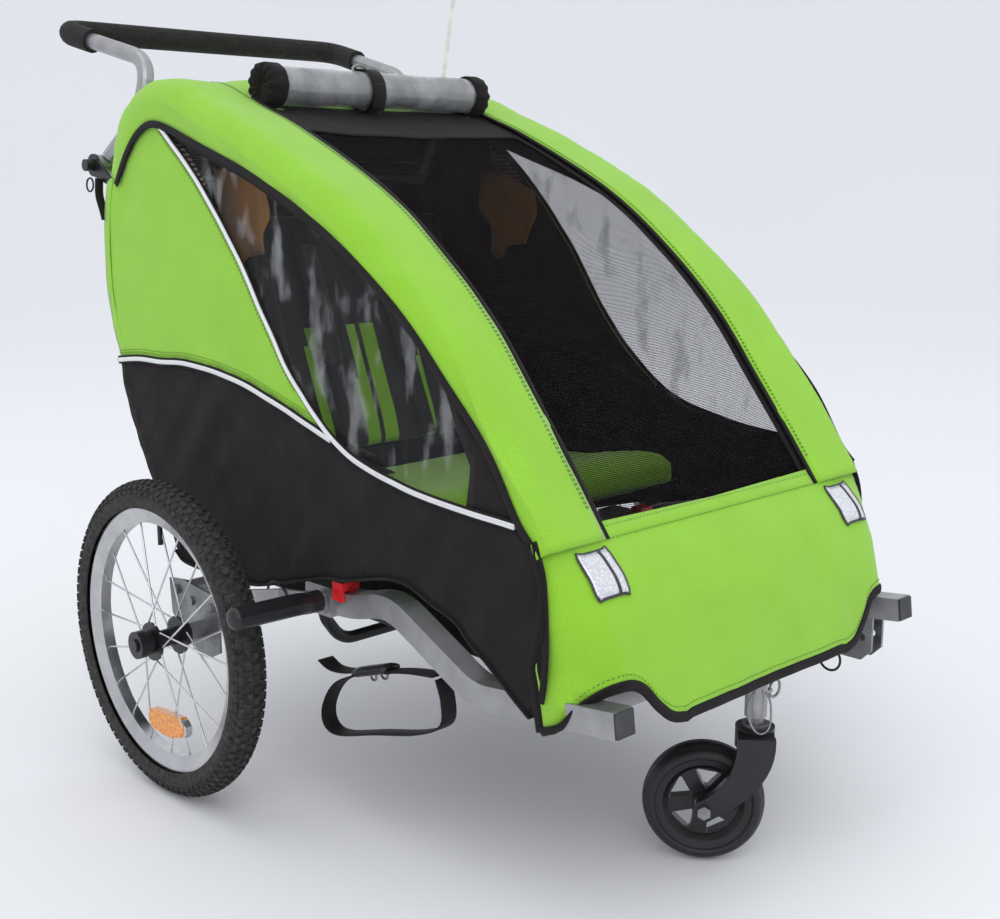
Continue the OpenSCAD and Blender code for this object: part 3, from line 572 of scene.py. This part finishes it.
# ---- Hood: one green sheet, two bands over the arches that meet over the roof ----
roof_z = curve([(14, 834), (45, 842), (66, 862), (110, 888), (168, 884), (226, 826)], 9)
hood_rows = []
for i, (c, s, n) in enumerate(zip(crest, skirt, cn)):
    row = []
    r = min(26, 0.7 * np.linalg.norm(s - c))
    half = [(288 - r + r * math.sin(a), -r + r * math.cos(a)) for a in np.linspace(0, math.pi / 2, 6)]
    for side in (-1, 1):
        pts = [(SCREEN_X, -2.5), (205, -1.6), (222, -0.8), (238, 0), (250, 0.3)] + half
        part = []
        for x, d in pts:
            # Short creases across the band, deeper towards its outer edge and its rear corner
            crease = (1.2 + 1.6 * max(c[0] + 40, 0) / 200) * max(x - 215, 0) / 75
            w = soft((x * side, *c), 60, 1.3) + soft((x * 0.5 - c[0] * 0.6, i * 9.0, side * 50), 19, crease)
            part.append((side * x, *(c + n * (d + w))))
        down = s - (c - n * r)
        for t in (0.3, 0.65, 1.0):
            q = c - n * r + down * t
            part.append((side * (289 + soft((side * 289, *q), 34, 1.6)), *q))
        row.append(part)
    mid = []
    for x in np.linspace(-SCREEN_X, SCREEN_X, 15)[1:-1]:
        z = float(np.interp(c[0], roof_z[:, 0], roof_z[:, 1])) if c[0] < 226 else c[1]
        k = 1 - (abs(x) / SCREEN_X) ** 3
        mid.append((x, c[0], c[1] - 2.5 + (z - c[1] + 2.5) * k + soft((x, *c), 70, 1.5)))
    hood_rows.append(row[0][::-1] + mid + row[1])
wing_n = len(row[0])
open_to = next(i for i, c in enumerate(crest) if c[0] > 22)
hood = grid("hood", hood_rows, green, lambda i, j: i >= open_to or not wing_n - 1 <= j <= wing_n + 12, 1.4)
line_inside(hood, painted_shade_lining)
settle(hood, "canopy", ["canopy_band_left", "canopy_band_right"])


def as_sheet(o):
    """Works out a sheet's bounding cut and its own area from its UVs; the results are not kept."""
    me = o.data
    uv = np.zeros(len(me.loops) * 2, np.float32)
    me.uv_layers[0].data.foreach_get("uv", uv)
    size = np.ptp(uv.reshape(-1, 2), axis=0)
    area = sum(p.area for p in me.polygons)
    w, l = max(float(size[0]), 0.01), max(float(size[1]), 0.01)
    k = max(1.0, math.sqrt(area / (w * l)) * 1.002)
    w, l = round(w * k, 4), round(l * k, 4)


as_sheet(hood)

hem = []
for side in (-1, 1):
    edge = [(side * (SIDE_X + 5.5), *q) for q in skirt]
    hem.append(sweep_parts(edge, strip_section(9, 2.6), (side, 0, 0)))
    inner = [(side * SCREEN_X, *(c - n * 2.5)) for c, n in zip(crest[:open_to + 3], cn)]
    hem.append(sweep_parts(inner, strip_section(7, 3), [(0, *n) for n in cn[:open_to + 3]]))
tail = [(x, 247 if abs(x) < 250 else 244, 766) for x in np.linspace(-262, 262, 40)]
hem.append(sweep_parts(tail, strip_section(9, 2.6), (0, 1, 0.3)))
front = [(x, crest[open_to][0] - 3, float(np.interp(crest[open_to][0], roof_z[:, 0], roof_z[:, 1])) + 1)
         for x in np.linspace(-186, 186, 30)]
hem.append(sweep_parts(front, strip_section(8, 2.4), (0, 0.3, 1)))
settle(merged("hood_binding", hem, tape), "canopy")

seams = []
sewn = slice(4, -3)
for side in (-1, 1):
    for off in (7.5, 10.0):
        row = [(side * (SCREEN_X + off), *(c - n * 0.6)) for c, n in zip(crest[sewn], cn[sewn])]
        seams += stitch_parts(row, [(0, *n) for n in cn[sewn]])
settle(merged("hood_stitching", seams, thread), "canopy")


# ---- Side walls ----
def wall_x(y, z, side, deep):
    """Where the side fabric hangs: it bellies a little, with slanting folds low down."""
    belly = 2.2 * math.sin(math.pi * min(max((z - 262) / 320, 0), 1))
    slant = noise.noise(Vector(((y + z * 0.9) / 46, (z - y) / 260, 3.0 * side)))
    small = noise.noise(Vector((y / 70, z / 70, 7.0 * side)))
    return SIDE_X + belly + deep * (0.75 * slant + 0.35 * small)


def lift_wall(side, deep):
    return lambda y, z: (side * wall_x(y, z, side, deep), y, z)


def lift_soft(side, x, size, depth):
    return lambda y, z: (side * (x + soft((y, z, side), size, depth)), y, z)


def line_on(side, path, deep, out):
    return [(side * (wall_x(y, z, side, deep) + out), y, z) for y, z in curve(path, 6)]


PIPE = [(1.9 * math.cos(a), 3.0 * math.sin(a)) for a in around(10)]
piping_curve = [tuple(p) for p in curve(PIPING, 10)]
low_curve = [tuple(p) for p in curve(PIPING_LOW, 10)]
join = min(range(len(piping_curve)), key=lambda i: abs(piping_curve[i][0] + 236))
rear_curve = [tuple(p) for p in curve(REAR, 10)]
rear_join = min(range(len(rear_curve)), key=lambda i: abs(rear_curve[i][1] - 519))
pane_top = [tuple(c - n * 20) for c, n in zip(crest, cn)]
front_x = min(range(len(crest)), key=lambda i: abs(crest[i][0] + 470))
for side, tag in ((-1, "right"), (1, "left")):
    top = [tuple(q + (0, 6)) for q in skirt if 100 < q[0] < 214]
    green_out = piping_curve[:join + 1][::-1] + top + rear_curve[3:rear_join + 1] + low_curve
    o = line_inside(flat_cut("side_green_" + tag, green_out, lift_wall(side, 1.2), green), painted_shade_lining)
    hang(o, ["side_panel_" + tag])
    as_sheet(o)
    bottom = [tuple(p) for p in curve(BELLY[::-1], 10)]
    black_out = low_curve + piping_curve[join:] + FRONT_EDGE + bottom + rear_curve[rear_join:][::-1]
    o = flat_cut("side_black_" + tag, black_out, lift_wall(side, 5.0), black)
    hang(o, ["side_panel_" + tag])
    as_sheet(o)
    pane_out = piping_curve[1:-9] + [(-462, 470), (-446, 502)] + pane_top[front_x + 3:int(len(crest) * 0.86)]
    pane_out = [p for p in pane_out if p[0] < 106]
    o = flat_cut("side_window_" + tag, pane_out, lift_soft(side, SIDE_X - 0.5, 90, 2.2), vinyl, 12, 0.6)
    hang(o, ["side_windows"])
    as_sheet(o)
    edge = [(side * (SIDE_X - 0.5), *(q - n * 4)) for q, n in zip(skirt, cn) if q[0] < 110]
    # A black cloth sheet over the pane's front corner: painted shade where the dark cabin would show through.
    corner = flat_cut("window_corner_" + tag, CORNER_SHADE, lift_soft(side, SIDE_X + 1.0, 60, 0), black)
    hang(corner, ["side_panel_" + tag])
    as_sheet(corner)
    o = merged("window_border_" + tag, [sweep_parts(edge, strip_section(14, 1.6), (side, 0, 0))], tape)
    hang(o)
    pipes = [line_on(side, PIPING, 1.2, 2.6), line_on(side, PIPING_LOW, 1.2, 2.6)]
    o = merged("piping_base_" + tag, [sweep_parts(p, strip_section(11, 1.8), (side, 0, 0)) for p in pipes],
               tape)
    hang(o)
    cords = [sweep_parts(np.array(p) + (side * 1.4, 0, 0), PIPE, (side, 0, 0)) for p in pipes]
    o = merged("piping_" + tag, cords, white_piping)
    hang(o)
    lower = [(side * wall_x(y, z, side, 5.0), y, z) for y, z in curve(BELLY, 8)]
    edge_line = curve([(-551, 411), (-564, 376), (-568, 315), (-566, 273), (-562, 248)], 8)
    frontal = [(side * (SIDE_X + 0.8), y, z) for y, z in edge_line]
    hems = [sweep_parts(lower, strip_section(3, 9), (side, 0, 0)),
            sweep_parts(frontal, strip_section(8, 3), (side, 0, 0))]
    o = merged("side_hem_" + tag, hems, tape)
    hang(o)
    rows_of = []
    for off in (9.0, 12.5):
        base = np.array(line_on(side, PIPING_LOW, 1.2, 1.0))
        rows_of += stitch_parts(base + (0, 0, off), (side, 0, 0))
        base = np.array(line_on(side, PIPING[:5], 1.2, 1.0))
        rows_of += stitch_parts(base + (0, off * 0.8, -off * 0.4), (side, 0, 0))
    o = merged("side_stitching_" + tag, rows_of, thread)
    hang(o)

# ---- Rear wall, wrapped round its corners ----
def back_y(x, y):
    edge = max(abs(x) - 262, 0) / 25
    return y - 20 * (1 - math.sqrt(max(1 - min(edge, 1) ** 2, 0))) + 5 * math.cos(x / SIDE_X * math.pi / 2)


for part, lo_i, hi_i, mat, slot_name in (("rear_green", 0, rear_join + 1, green, "green_fabric"),
                                         ("rear_black", rear_join, len(rear_curve), black, "black_fabric")):
    rows = []
    for y, z in rear_curve[lo_i:hi_i]:
        row = []
        for x in np.linspace(-SIDE_X - 1.5, SIDE_X + 1.5, 61):
            row.append((x, back_y(x, y) + soft((x, y, z), 75, 2.4 if mat is black else 1.4), z))
        rows.append(row)
    o = line_inside(grid(part, rows, mat), painted_shade_lining)
    hang(o, ["rear_panel"])
    as_sheet(o)
y, z = rear_curve[rear_join]
back_line = [(x, back_y(x, y) + 2, z) for x in np.linspace(-SIDE_X - 1, SIDE_X + 1, 70)]
o = sweep("rear_piping", back_line, PIPE, white_piping, (0, 1, 0))
hang(o)
o = sweep("rear_piping_base", np.array(back_line) - (0, 1.6, 0), strip_section(11, 1.8), tape, (0, 1, 0))
hang(o)

# ---- Front cover, with its hem cut back round the rail ends ----
apron = np.array(APRON, float)


def cover_at(x, z):
    y = float(np.interp(z, apron[::-1, 1], apron[::-1, 0]))
    low = min(max((410 - z) / 190, 0), 1)
    edge = max(abs(x) - 232, 0) / 55
    wrap = 74 * min(low * 1.5, 1) * edge ** 2
    puffed = 5 * math.sin(math.pi * low) * (1 - (x / 290) ** 2)
    fold = soft((x, z * 0.4, 0), 60, 2.2 * low) + soft((x + z * 0.7, 0, z * 0.12), 40, 1.6 * low)
    return (x, y + wrap - puffed + fold, z)


HEM = [(-287, 218), (-279, 226), (-268, 250), (-252, 266), (-232, 270), (-212, 262), (-192, 240), (-172, 224),
       (-150, 218)]
hem_line = [tuple(p) for p in curve(HEM, 6)] + [(x, 220) for x in np.arange(-140, 141, 10)]
hem_line += [(-x, z) for x, z in curve(HEM, 6)[::-1]]
cover_out = hem_line + [(287, 300), (287, 410), (190, 414), (0, 410), (-190, 414), (-287, 410), (-287, 300)]
cover = line_inside(flat_cut("front_cover_cloth", cover_out, cover_at, green, 10, 1.4), painted_shade_lining)
hang(cover, ["front_cover"])
as_sheet(cover)
hem3 = [cover_at(x, z) for x, z in hem_line]
sides3 = [[cover_at(s * 287, z) for z in np.linspace(410, 218, 26)] for s in (-1, 1)]
bind = [sweep_parts(hem3, oval(2.2, 6, 10), (0, -1, 0.1))]
bind += [sweep_parts(p, oval(2.2, 5, 10), (s, -0.6, 0)) for p, s in zip(sides3, (-1, 1))]
hang(merged("cover_binding", bind, tape))
lap = [np.array(cover_at(x, 403)) + (0, -1.0, 0.8) for x in np.linspace(-286, 286, 60)]
hang(sweep("cover_lap", lap, strip_section(16, 1.3), green, (0, -0.75, 0.66)))
rows_of = []
for z in (398, 408):
    rows_of += stitch_parts([np.array(cover_at(x, z)) + (0, -1.9, 1.3) for x in np.linspace(-284, 284, 70)],
                            (0, -0.75, 0.66))
rows_of += stitch_parts([np.array(cover_at(x, z + 11)) + (0, -1.0, 0) for x, z in hem_line[3:-3]], (0, -1, 0))
hang(merged("cover_stitching", rows_of, thread))

# ---- Screen between the bands ----
screen_line = [tuple(c - n * 8.5) for c, n in zip(crest, cn) if c[0] < 40]
rows = []
for y, z in screen_line:
    rows.append([(x, y + 0.4 * soft((x, y, z), 80, 5),
                  z - 5 * math.cos(x / SCREEN_X * math.pi / 2) + soft((x, y, z), 80, 2.5))
                 for x in np.linspace(-189, 189, 33)])
screen = grid("screen_mesh", rows, mesh, None, 0.6)
hang(screen, ["front_screen"])
as_sheet(screen)
tops = [r for r in rows if r[0][1] > -60]
o = grid("screen_header", [[(p[0], p[1], p[2] + 1.4) for p in r] for r in tops], black, None, 1.0)
hang(o, ["front_screen"])
as_sheet(o)
edges = []
for s in (0, -1):
    edges.append(sweep_parts([(p[s][0], p[s][1], p[s][2] + 1.2) for p in rows], strip_section(20, 1.4),
                             (0, -0.5, 0.8)))
edges.append(sweep_parts([np.array(p) + (0, -0.6, 1.2) for p in rows[0]], strip_section(12, 1.4),
                         (0, -0.7, 0.7)))
hang(merged("screen_border", edges, tape))

# ---- Seat, harness ----
def slab(name, path, half_w, thick, mat):
    p = curve(path, 12)
    sec = [(thick / 2 * a, b) for a, b in ((1, -half_w), (1, -half_w * 0.5), (1, 0), (1, half_w * 0.5),
                                           (1, half_w),
                                           (-1, half_w), (-1, 0), (-1, -half_w))]
    return sweep(name, p, sec, mat, (0, -0.2, 1))


STRIPE_TOP = 0.56


def striped(o, dark, light, stripes):
    """Sewn stripes down a pad: faces in the stripes get the light cloth."""
    o.data.materials.clear()
    o.data.materials.append(dark.m)
    o.data.materials.append(light.m)
    for f in o.data.polygons:
        x = f.center.x * 1000
        f.material_index = int(f.center.z < STRIPE_TOP and any(a < x < b for a, b in stripes))


def box_uv(o):
    """UVs in metres from the two widest directions, for pads that lost theirs."""
    me = o.data
    layer = me.uv_layers.new(name="UVMap") if not me.uv_layers else me.uv_layers[0]
    co = np.array([v.co for v in me.vertices])
    idx = np.array([loop.vertex_index for loop in me.loops])
    uv = np.stack([co[:, 0], co[:, 1] + co[:, 2]], 1)[idx].astype(np.float32)
    layer.data.foreach_set("uv", uv.ravel())


base = puff(slab("seat_base_pad", [(0, -325, 356), (0, -306, 388), (0, -180, 372), (0, 4, 358)], 218, 16,
                 seat_green))
box_uv(base)
hang(base, ["seat_base"])
rest = puff(slab("seat_back_pad", [(0, 24, 386), (0, 60, 470), (0, 110, 600), (0, 158, 714)], 218, 16,
                 seat_black))
for v in rest.data.vertices:
    x = abs(v.co.x * 1000)
    for seam in (8, 88, 150, 196):
        v.co.y += 0.0028 * math.exp(-((x - seam) / 5) ** 2)
box_uv(rest)
striped(rest, seat_black, seat_green, [(-206, -186), (-96, -80), (-24, -6), (6, 24), (80, 96), (186, 206)])
hang(rest, ["seat_back"])
straps, pads = [], []
for c in (-112, 112):
    for x in (c - 44, c + 44):
        line = curve([(x, 2, 404), (x, 38, 488), (x * 0.97, 88, 616), (x * 0.94, 128, 706)], 8)
        straps.append(sweep_parts(line, strip_section(24, 1.8), (0, -1, 0.3)))
        pads.append(sweep_parts(line[14:36], oval(5.5, 19), (0, -1, 0.3)))
    lap_line = curve([(c - 62, -4, 392), (c - 22, -30, 400), (c + 22, -30, 400), (c + 62, -4, 392)], 8)
    straps.append(sweep_parts(lap_line, strip_section(24, 1.8), (0, -0.5, 1)))
    straps.append(sweep_parts(curve([(c, -120, 388), (c, -70, 394), (c, -34, 402)], 8),
                              strip_section(24, 1.8), (0, 0, 1)))
harness = merged("harness_straps", straps, webbing)
hang(harness, ["harness"])
o = merged("harness_pads", pads, seat_black)
hang(o, ["harness"])
buckles = [sweep_parts([(c, -52, 403), (c, -48, 404), (c, -18, 407), (c, -14, 406)], oval(6, 19), (0, 0, 1))
           for c in (-112, 112)]
hang(merged("harness_buckles", buckles, black_plastic), ["harness"])

# ---- Brown pouch and striped net that hang behind the side windows ----
POUCH = [(66, 772), (8, 766), (-44, 742), (-50, 712), (-34, 690), (-30, 668), (6, 664), (30, 640), (48, 652),
         (44, 690), (70, 716)]
NET = [(96, 812), (60, 792), (20, 752), (44, 716), (66, 742)]
for side, tag in ((-1, "right"), (1, "left")):
    o = flat_cut("side_pouch_" + tag, POUCH, lift_soft(side, 232, 40, 7), tan, 9, 1.6)
    hang(o)
    as_sheet(o)
    o = flat_cut("side_net_" + tag, NET, lift_soft(side, 276, 60, 2), net_cloth, 8, 1.0)
    hang(o)
    as_sheet(o)

# ---- Front reflectors ----
for s, tag in ((-1, "right"), (1, "left")):
    rows = []
    for v in np.linspace(0, 1, 9):
        z = 392 - 38 * v
        row = []
        for u in np.linspace(-1, 1, 11):
            p = np.array(cover_at(s * 222 + 23 * u * (1 - 0.1 * abs(2 * v - 1) ** 6),
                                  z - 4 * (v - 0.5) * abs(u) ** 6))
            row.append(tuple(p + (0, -3.2 - 1.6 * (1 - max(abs(u), abs(2 * v - 1)) ** 4), 0)))
        rows.append(row)
    o = grid("front_reflector_" + tag, rows, reflect, None, 1.2)
    hang(o, ["front_reflectors"])
    as_sheet(o)
    rim = [*rows[0], *[r[10] for r in rows[1:]], *rows[8][9::-1], *[r[0] for r in rows[7:0:-1]]]
    band = [np.array(r[7]) + (0, -1.1, 0) for r in rows]
    edges = [sweep_parts(rim, strip_section(3.4, 1.6), (0, -1, 0.4), True),
             sweep_parts(band, strip_section(4, 0.8), (0, -1, 0.4))]
    o = merged("reflector_edge_" + tag, edges, grey_plastic)
    hang(o)

# ---- Rear tyres: carcass with ribs, and tread blocks ----
def tyre(name, cx, mat, body, node, r_out, width, blocks, rows_of_blocks):
    r = width / 2
    mid = r_out - r
    prof = []
    for a in np.linspace(-122, 122, 41):
        rr = r - 2.6 + (0.5 if 52 < abs(a) < 100 and int(abs(a) / 6) % 2 else 0)
        prof.append((rr * math.sin(math.radians(a)), mid + rr * math.cos(math.radians(a))))
    prof += [((r - 6) * math.sin(math.radians(a)), mid + (r - 6) * math.cos(math.radians(a)))
             for a in np.linspace(118, -118, 25)]
    o = lathe_x(name, prof, mat, (cx, 0, WHEEL_R), 128, True)
    parts = []
    for a_row, wide, long, shift in rows_of_blocks:
        for i in range(blocks):
            t = 2 * math.pi * (i + shift) / blocks
            out = []
            for h, k in ((-1.5, 1.06), (2.55, 0.86)):
                for da, dt in ((-1, -1), (1, -1), (1, 1), (-1, 1)):
                    a = math.radians(a_row) + da * wide * k / 2 / r
                    rad = mid + (r - 2.6 + h) * math.cos(a)
                    th = t + dt * long * k / 2 / r_out
                    out.append((cx + (r - 2.6 + h) * math.sin(a), rad * math.sin(th),
                                WHEEL_R + rad * math.cos(th)))
            parts.append((out, [(4, 5, 6, 7), (0, 1, 5, 4), (1, 2, 6, 5), (2, 3, 7, 6), (3, 0, 4, 7)],
                          [(0, 0), (wide, 0), (wide, long), (0, long)] * 2))
    tread = merged(name + "_tread", parts, mat, False)
    settle(tread, body, [node])
    return settle(o, body, [node])


TREAD = [(0, 8, 9, 0), (24, 6.5, 7, 0.5), (-24, 6.5, 7, 0.5), (46, 6.5, 8, 0), (-46, 6.5, 8, 0),
         (66, 5, 6, 0.5), (-66, 5, 6, 0.5)]
for s, tag in ((-1, "right"), (1, "left")):
    tyre("tyre_" + tag + "_carcass", s * WHEEL_X, tyre_rubber, "wheel_" + tag, "tyre_" + tag, WHEEL_R, 46, 92,
         TREAD)
    t = math.radians(-4)
    outline = [(-41, -4), (-34, -11), (-20, -13), (-12, -16), (12, -16), (20, -13), (34, -11), (41, -4),
               (41, 6), (33, 14), (-33, 14), (-41, 6)]
    pts = []
    for x, k in ((-6.2, 0.94), (-5.2, 1.0), (5.2, 1.0), (6.2, 0.94)):
        pts += [(s * WHEEL_X + x, (a * math.cos(t) - b * math.sin(t)) * k,
                 88 + (a * math.sin(t) + b * math.cos(t)) * k) for a, b in outline]
    n = len(outline)
    faces = [tuple(range(n)), tuple(range(3 * n, 4 * n))[::-1]]
    faces += [(l * n + i, (l + 1) * n + i, (l + 1) * n + (i + 1) % n, l * n + (i + 1) % n) for l in range(3)
              for i in range(n)]
    o = put("spoke_reflector_" + tag, pts, faces, amber, [(p[1], p[2]) for p in pts], False)
    settle(o, "wheel_" + tag)
    valve = sweep("valve_" + tag, [(s * WHEEL_X, 0, WHEEL_R + 148), (s * WHEEL_X, 0, WHEEL_R + 120)],
                  ring_section(3.2), black_plastic, (1, 0, 0))
    settle(valve, "wheel_" + tag)

# ---- Roll: film wound up, gathered caps, strap with its ring ----
rlo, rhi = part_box("rain_cover_roll")
ROLL_Y, ROLL_Z = ((rlo[1] + rhi[1]) / 2 - AXLE_Y) * 1000, (rlo[2] + rhi[2]) / 2 * 1000
rows = []
for i, a in enumerate(np.linspace(0, 3.2 * 2 * math.pi, 110)):
    r = 15 + 10.6 * (i / 109) ** 0.8
    row = []
    for x in np.linspace(-168, 168, 34):
        w = 0.9 * noise.noise(Vector((x / 55, a * 1.4, 4))) + 0.35 * noise.noise(Vector((x / 14, a * 3, 9)))
        row.append((x, ROLL_Y + (r + w) * math.sin(a + 0.6), ROLL_Z + (r + w) * math.cos(a + 0.6)))
    rows.append(row)
roll = grid("cover_roll_film", rows, roll_vinyl, None, 0.5)
settle(roll, "canopy", ["rain_cover_roll"])
as_sheet(roll)
CAP = [(162, 26.6), (164, 27.8), (180, 28.0), (186, 27.0), (188.6, 23), (188.4, 17), (186, 9), (184.5, 0.4)]
for s, tag in ((-1, "right"), (1, "left")):
    prof = [(s * x, r) for x, r in CAP]
    o = lathe_x("roll_cap_" + tag, prof, black, (0, ROLL_Y, ROLL_Z), 72)
    for v in o.data.vertices:
        d = Vector((0, v.co.y - AXLE_Y - ROLL_Y / 1000, v.co.z - ROLL_Z / 1000))
        a = math.atan2(d.y, d.z)
        if abs(v.co.x) > 0.184:
            v.co.x -= s * 0.0013 * (1 + math.sin(13 * a))
        v.co.y -= 0.0006 * math.sin(9 * a) * math.sin(a)
    thicken(o, 1.4)
    settle(o, "canopy", ["roll_caps"])
ring = [(-16, ROLL_Y + 27.6 * math.sin(a), ROLL_Z + 27.6 * math.cos(a)) for a in around(48)]
ups = [(0, math.sin(a), math.cos(a)) for a in around(48)]
o = sweep("roll_strap_loop", ring, strip_section(22, 1.8), webbing, ups, True)
settle(o, "canopy", ["roll_strap"])
tail = curve([(-16, ROLL_Y - 27, ROLL_Z + 9), (-16, ROLL_Y - 29.5, ROLL_Z - 4),
              (-17, ROLL_Y - 28.5, ROLL_Z - 16), (-18, ROLL_Y - 25, ROLL_Z - 26)], 4)
settle(sweep("roll_strap_tail", tail, strip_section(20, 1.6), webbing, (0, -1, 0)), "canopy")
dee = [(-16 + 12 * math.cos(a), ROLL_Y + 14 + 2 * math.sin(a), ROLL_Z + 28 + 6 * math.sin(a))
       for a in around(24)]
settle(sweep("roll_strap_ring", dee, ring_section(1.6, 8), zinc, (0, 1, 0), True), "canopy")

# ---- Pennant ----
plo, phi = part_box("flag_pennant")
rows = []
for u in np.linspace(0, 1, 24):
    x = (plo[0] + (phi[0] - plo[0]) * u) * 1000
    zc, yc = (plo[2] + phi[2]) * 500, ((plo[1] + phi[1]) / 2 - AXLE_Y) * 1000
    tall = (phi[2] - plo[2]) * 500 * (1 - u) + 1
    rows.append([(x, yc - (v * tall) * math.tan(math.radians(12)) + 7 * u * math.sin(u * 6.5) * (1 - 0.3 * v),
                  zc + v * tall) for v in np.linspace(-1, 1, 15)])
flag = grid("pennant_sheet", rows, orange, None, 0.5)
settle(flag, "canopy", ["flag_pennant"])
as_sheet(flag)

# ---- Caster tyre with its ribs ----
turned = math.radians(39)
STEM_Y, TRAIL = -620, 55
CAST_R, CAST_W = 69, 40
ccx, ccy = -TRAIL * math.sin(turned), STEM_Y + TRAIL * math.cos(turned)


def on_caster(p):
    x, y, z = p
    return (ccx + x * math.cos(turned) - y * math.sin(turned),
            ccy + x * math.sin(turned) + y * math.cos(turned), CAST_R + z)


prof = [(-CAST_W / 2 + 1, CAST_R - 14.8), (-CAST_W / 2 + 0.2, CAST_R - 12)]
prof += [((CAST_W / 2 - 0.1) * math.sin(a), CAST_R - 11 + 10.6 * math.cos(a))
         for a in np.linspace(-1.57, 1.57, 25)]
prof += [(CAST_W / 2 - 0.2, CAST_R - 12), (CAST_W / 2 - 1, CAST_R - 14.8)]
pts, k, count = [], len(prof), 160
for i in range(count):
    a = 2 * math.pi * i / count
    for x, r in prof:
        if abs(x) < 15 and r > CAST_R - 8:
            r += 0.3 - 1.0 * (int(abs(x) / 3.6) % 2)
        pts.append(on_caster((x, r * math.sin(a), r * math.cos(a))))
faces = [(i * k + j, i * k + (j + 1) % k, (i + 1) % count * k + (j + 1) % k, (i + 1) % count * k + j)
         for i in range(count) for j in range(k)]
w = steps(prof)
o = put("caster_tyre_ribbed", pts, faces, caster_rubber, [(w[j], i * 3.0) for i in range(count)
                                                          for j in range(k)])
settle(o, "caster_wheel", ["caster_tyre"])
wire = []
for a in np.linspace(0.5, 2 * math.pi - 0.5, 40):
    u, h = 13 * math.sin(a), 183 + 24 * math.cos(a)
    q = 24.5 if h < 163 else 24.5 - 9.5 * min((h - 163) / 20, 1)
    wire.append((-q * 0.64 + u * 0.77, STEM_Y - q * 0.77 - u * 0.64, h))
o = sweep("caster_wire_bail", wire, ring_section(1.3, 8), zinc, (0.64, 0.77, 0))
settle(o, "root")

# ---- Tie strap under the right rail ----
strap_x = -261
loop = curve([(-388, 222), (-396, 196), (-392, 168), (-350, 146), (-280, 126), (-212, 106), (-186, 112),
              (-184, 136), (-208, 170), (-262, 194), (-330, 214), (-384, 224)], 6)
path = [(strap_x + 2 * math.sin(i / 9), *p) for i, p in enumerate(loop)]
ups = [(0, t[1], -t[0]) for t in np.gradient(loop, axis=0)]
o = sweep("tie_strap_loop", path, strip_section(22, 2.2), webbing, ups)
settle(o, "root", ["tie_strap"])
tail = curve([(strap_x, -262, 199), (strap_x + 1, -226, 187), (strap_x - 1, -198, 184), (strap_x, -176, 190)],
             6)
settle(sweep("tie_strap_tail", tail, strip_section(22, 2.2), webbing, (0, 0.2, 1)), "root")
body = [(strap_x, -300, 209), (strap_x, -294, 208), (strap_x, -250, 193), (strap_x, -244, 191)]
settle(sweep("tie_strap_buckle", body, oval(6, 14), black_plastic, (0, 0.3, 1)), "root")
rings = []
for y, z, r in ((-272, 192, 6), (-252, 184, 5), (-384, 214, 9)):
    path = [(strap_x + 13, y + r * math.cos(a), z + r * math.sin(a)) for a in around(20)]
    rings.append(sweep_parts(path, ring_section(1.5, 8), (1, 0, 0), True))
settle(merged("tie_strap_rings", rings, zinc), "root")

# ---- Domed plugs in the guards' ends, and a wire clip on the right stay ----
for side, tag in ((-1, "right"), (1, "left")):
    prof = [(side * (-1 + 8 * math.sin(a)), 13.2 * math.cos(a)) for a in np.linspace(0, 1.5, 8)]
    dome = lathe_x("guard_plug_" + tag, prof, black_plastic, (side * 421, -228, 288), 40)
    settle(dome)
hook = curve([(-287, -96, 262), (-289, -104, 274), (-289, -116, 280), (-288, -128, 276), (-286, -138, 264)],
             3)
settle(sweep("stay_clip", hook, ring_section(1.6, 8), black_steel, (1, 0, 0)))

# ---- Small fittings on the handle clamp ----
ring = [(-286 + 0.5 * math.sin(a), 292 + 9 * math.cos(a), 752 + 9 * math.sin(a)) for a in around(24)]
settle(sweep("pull_ring", ring, ring_section(1.3, 8), black_steel, (1, 0, 0), True), "canopy")
loose = curve([(-284, 270, 760), (-286, 268, 738), (-285, 262, 720), (-284, 258, 706)], 4)
settle(sweep("clamp_strap_end", loose, strip_section(12, 1.6), webbing, (0, 1, 0)), "canopy")
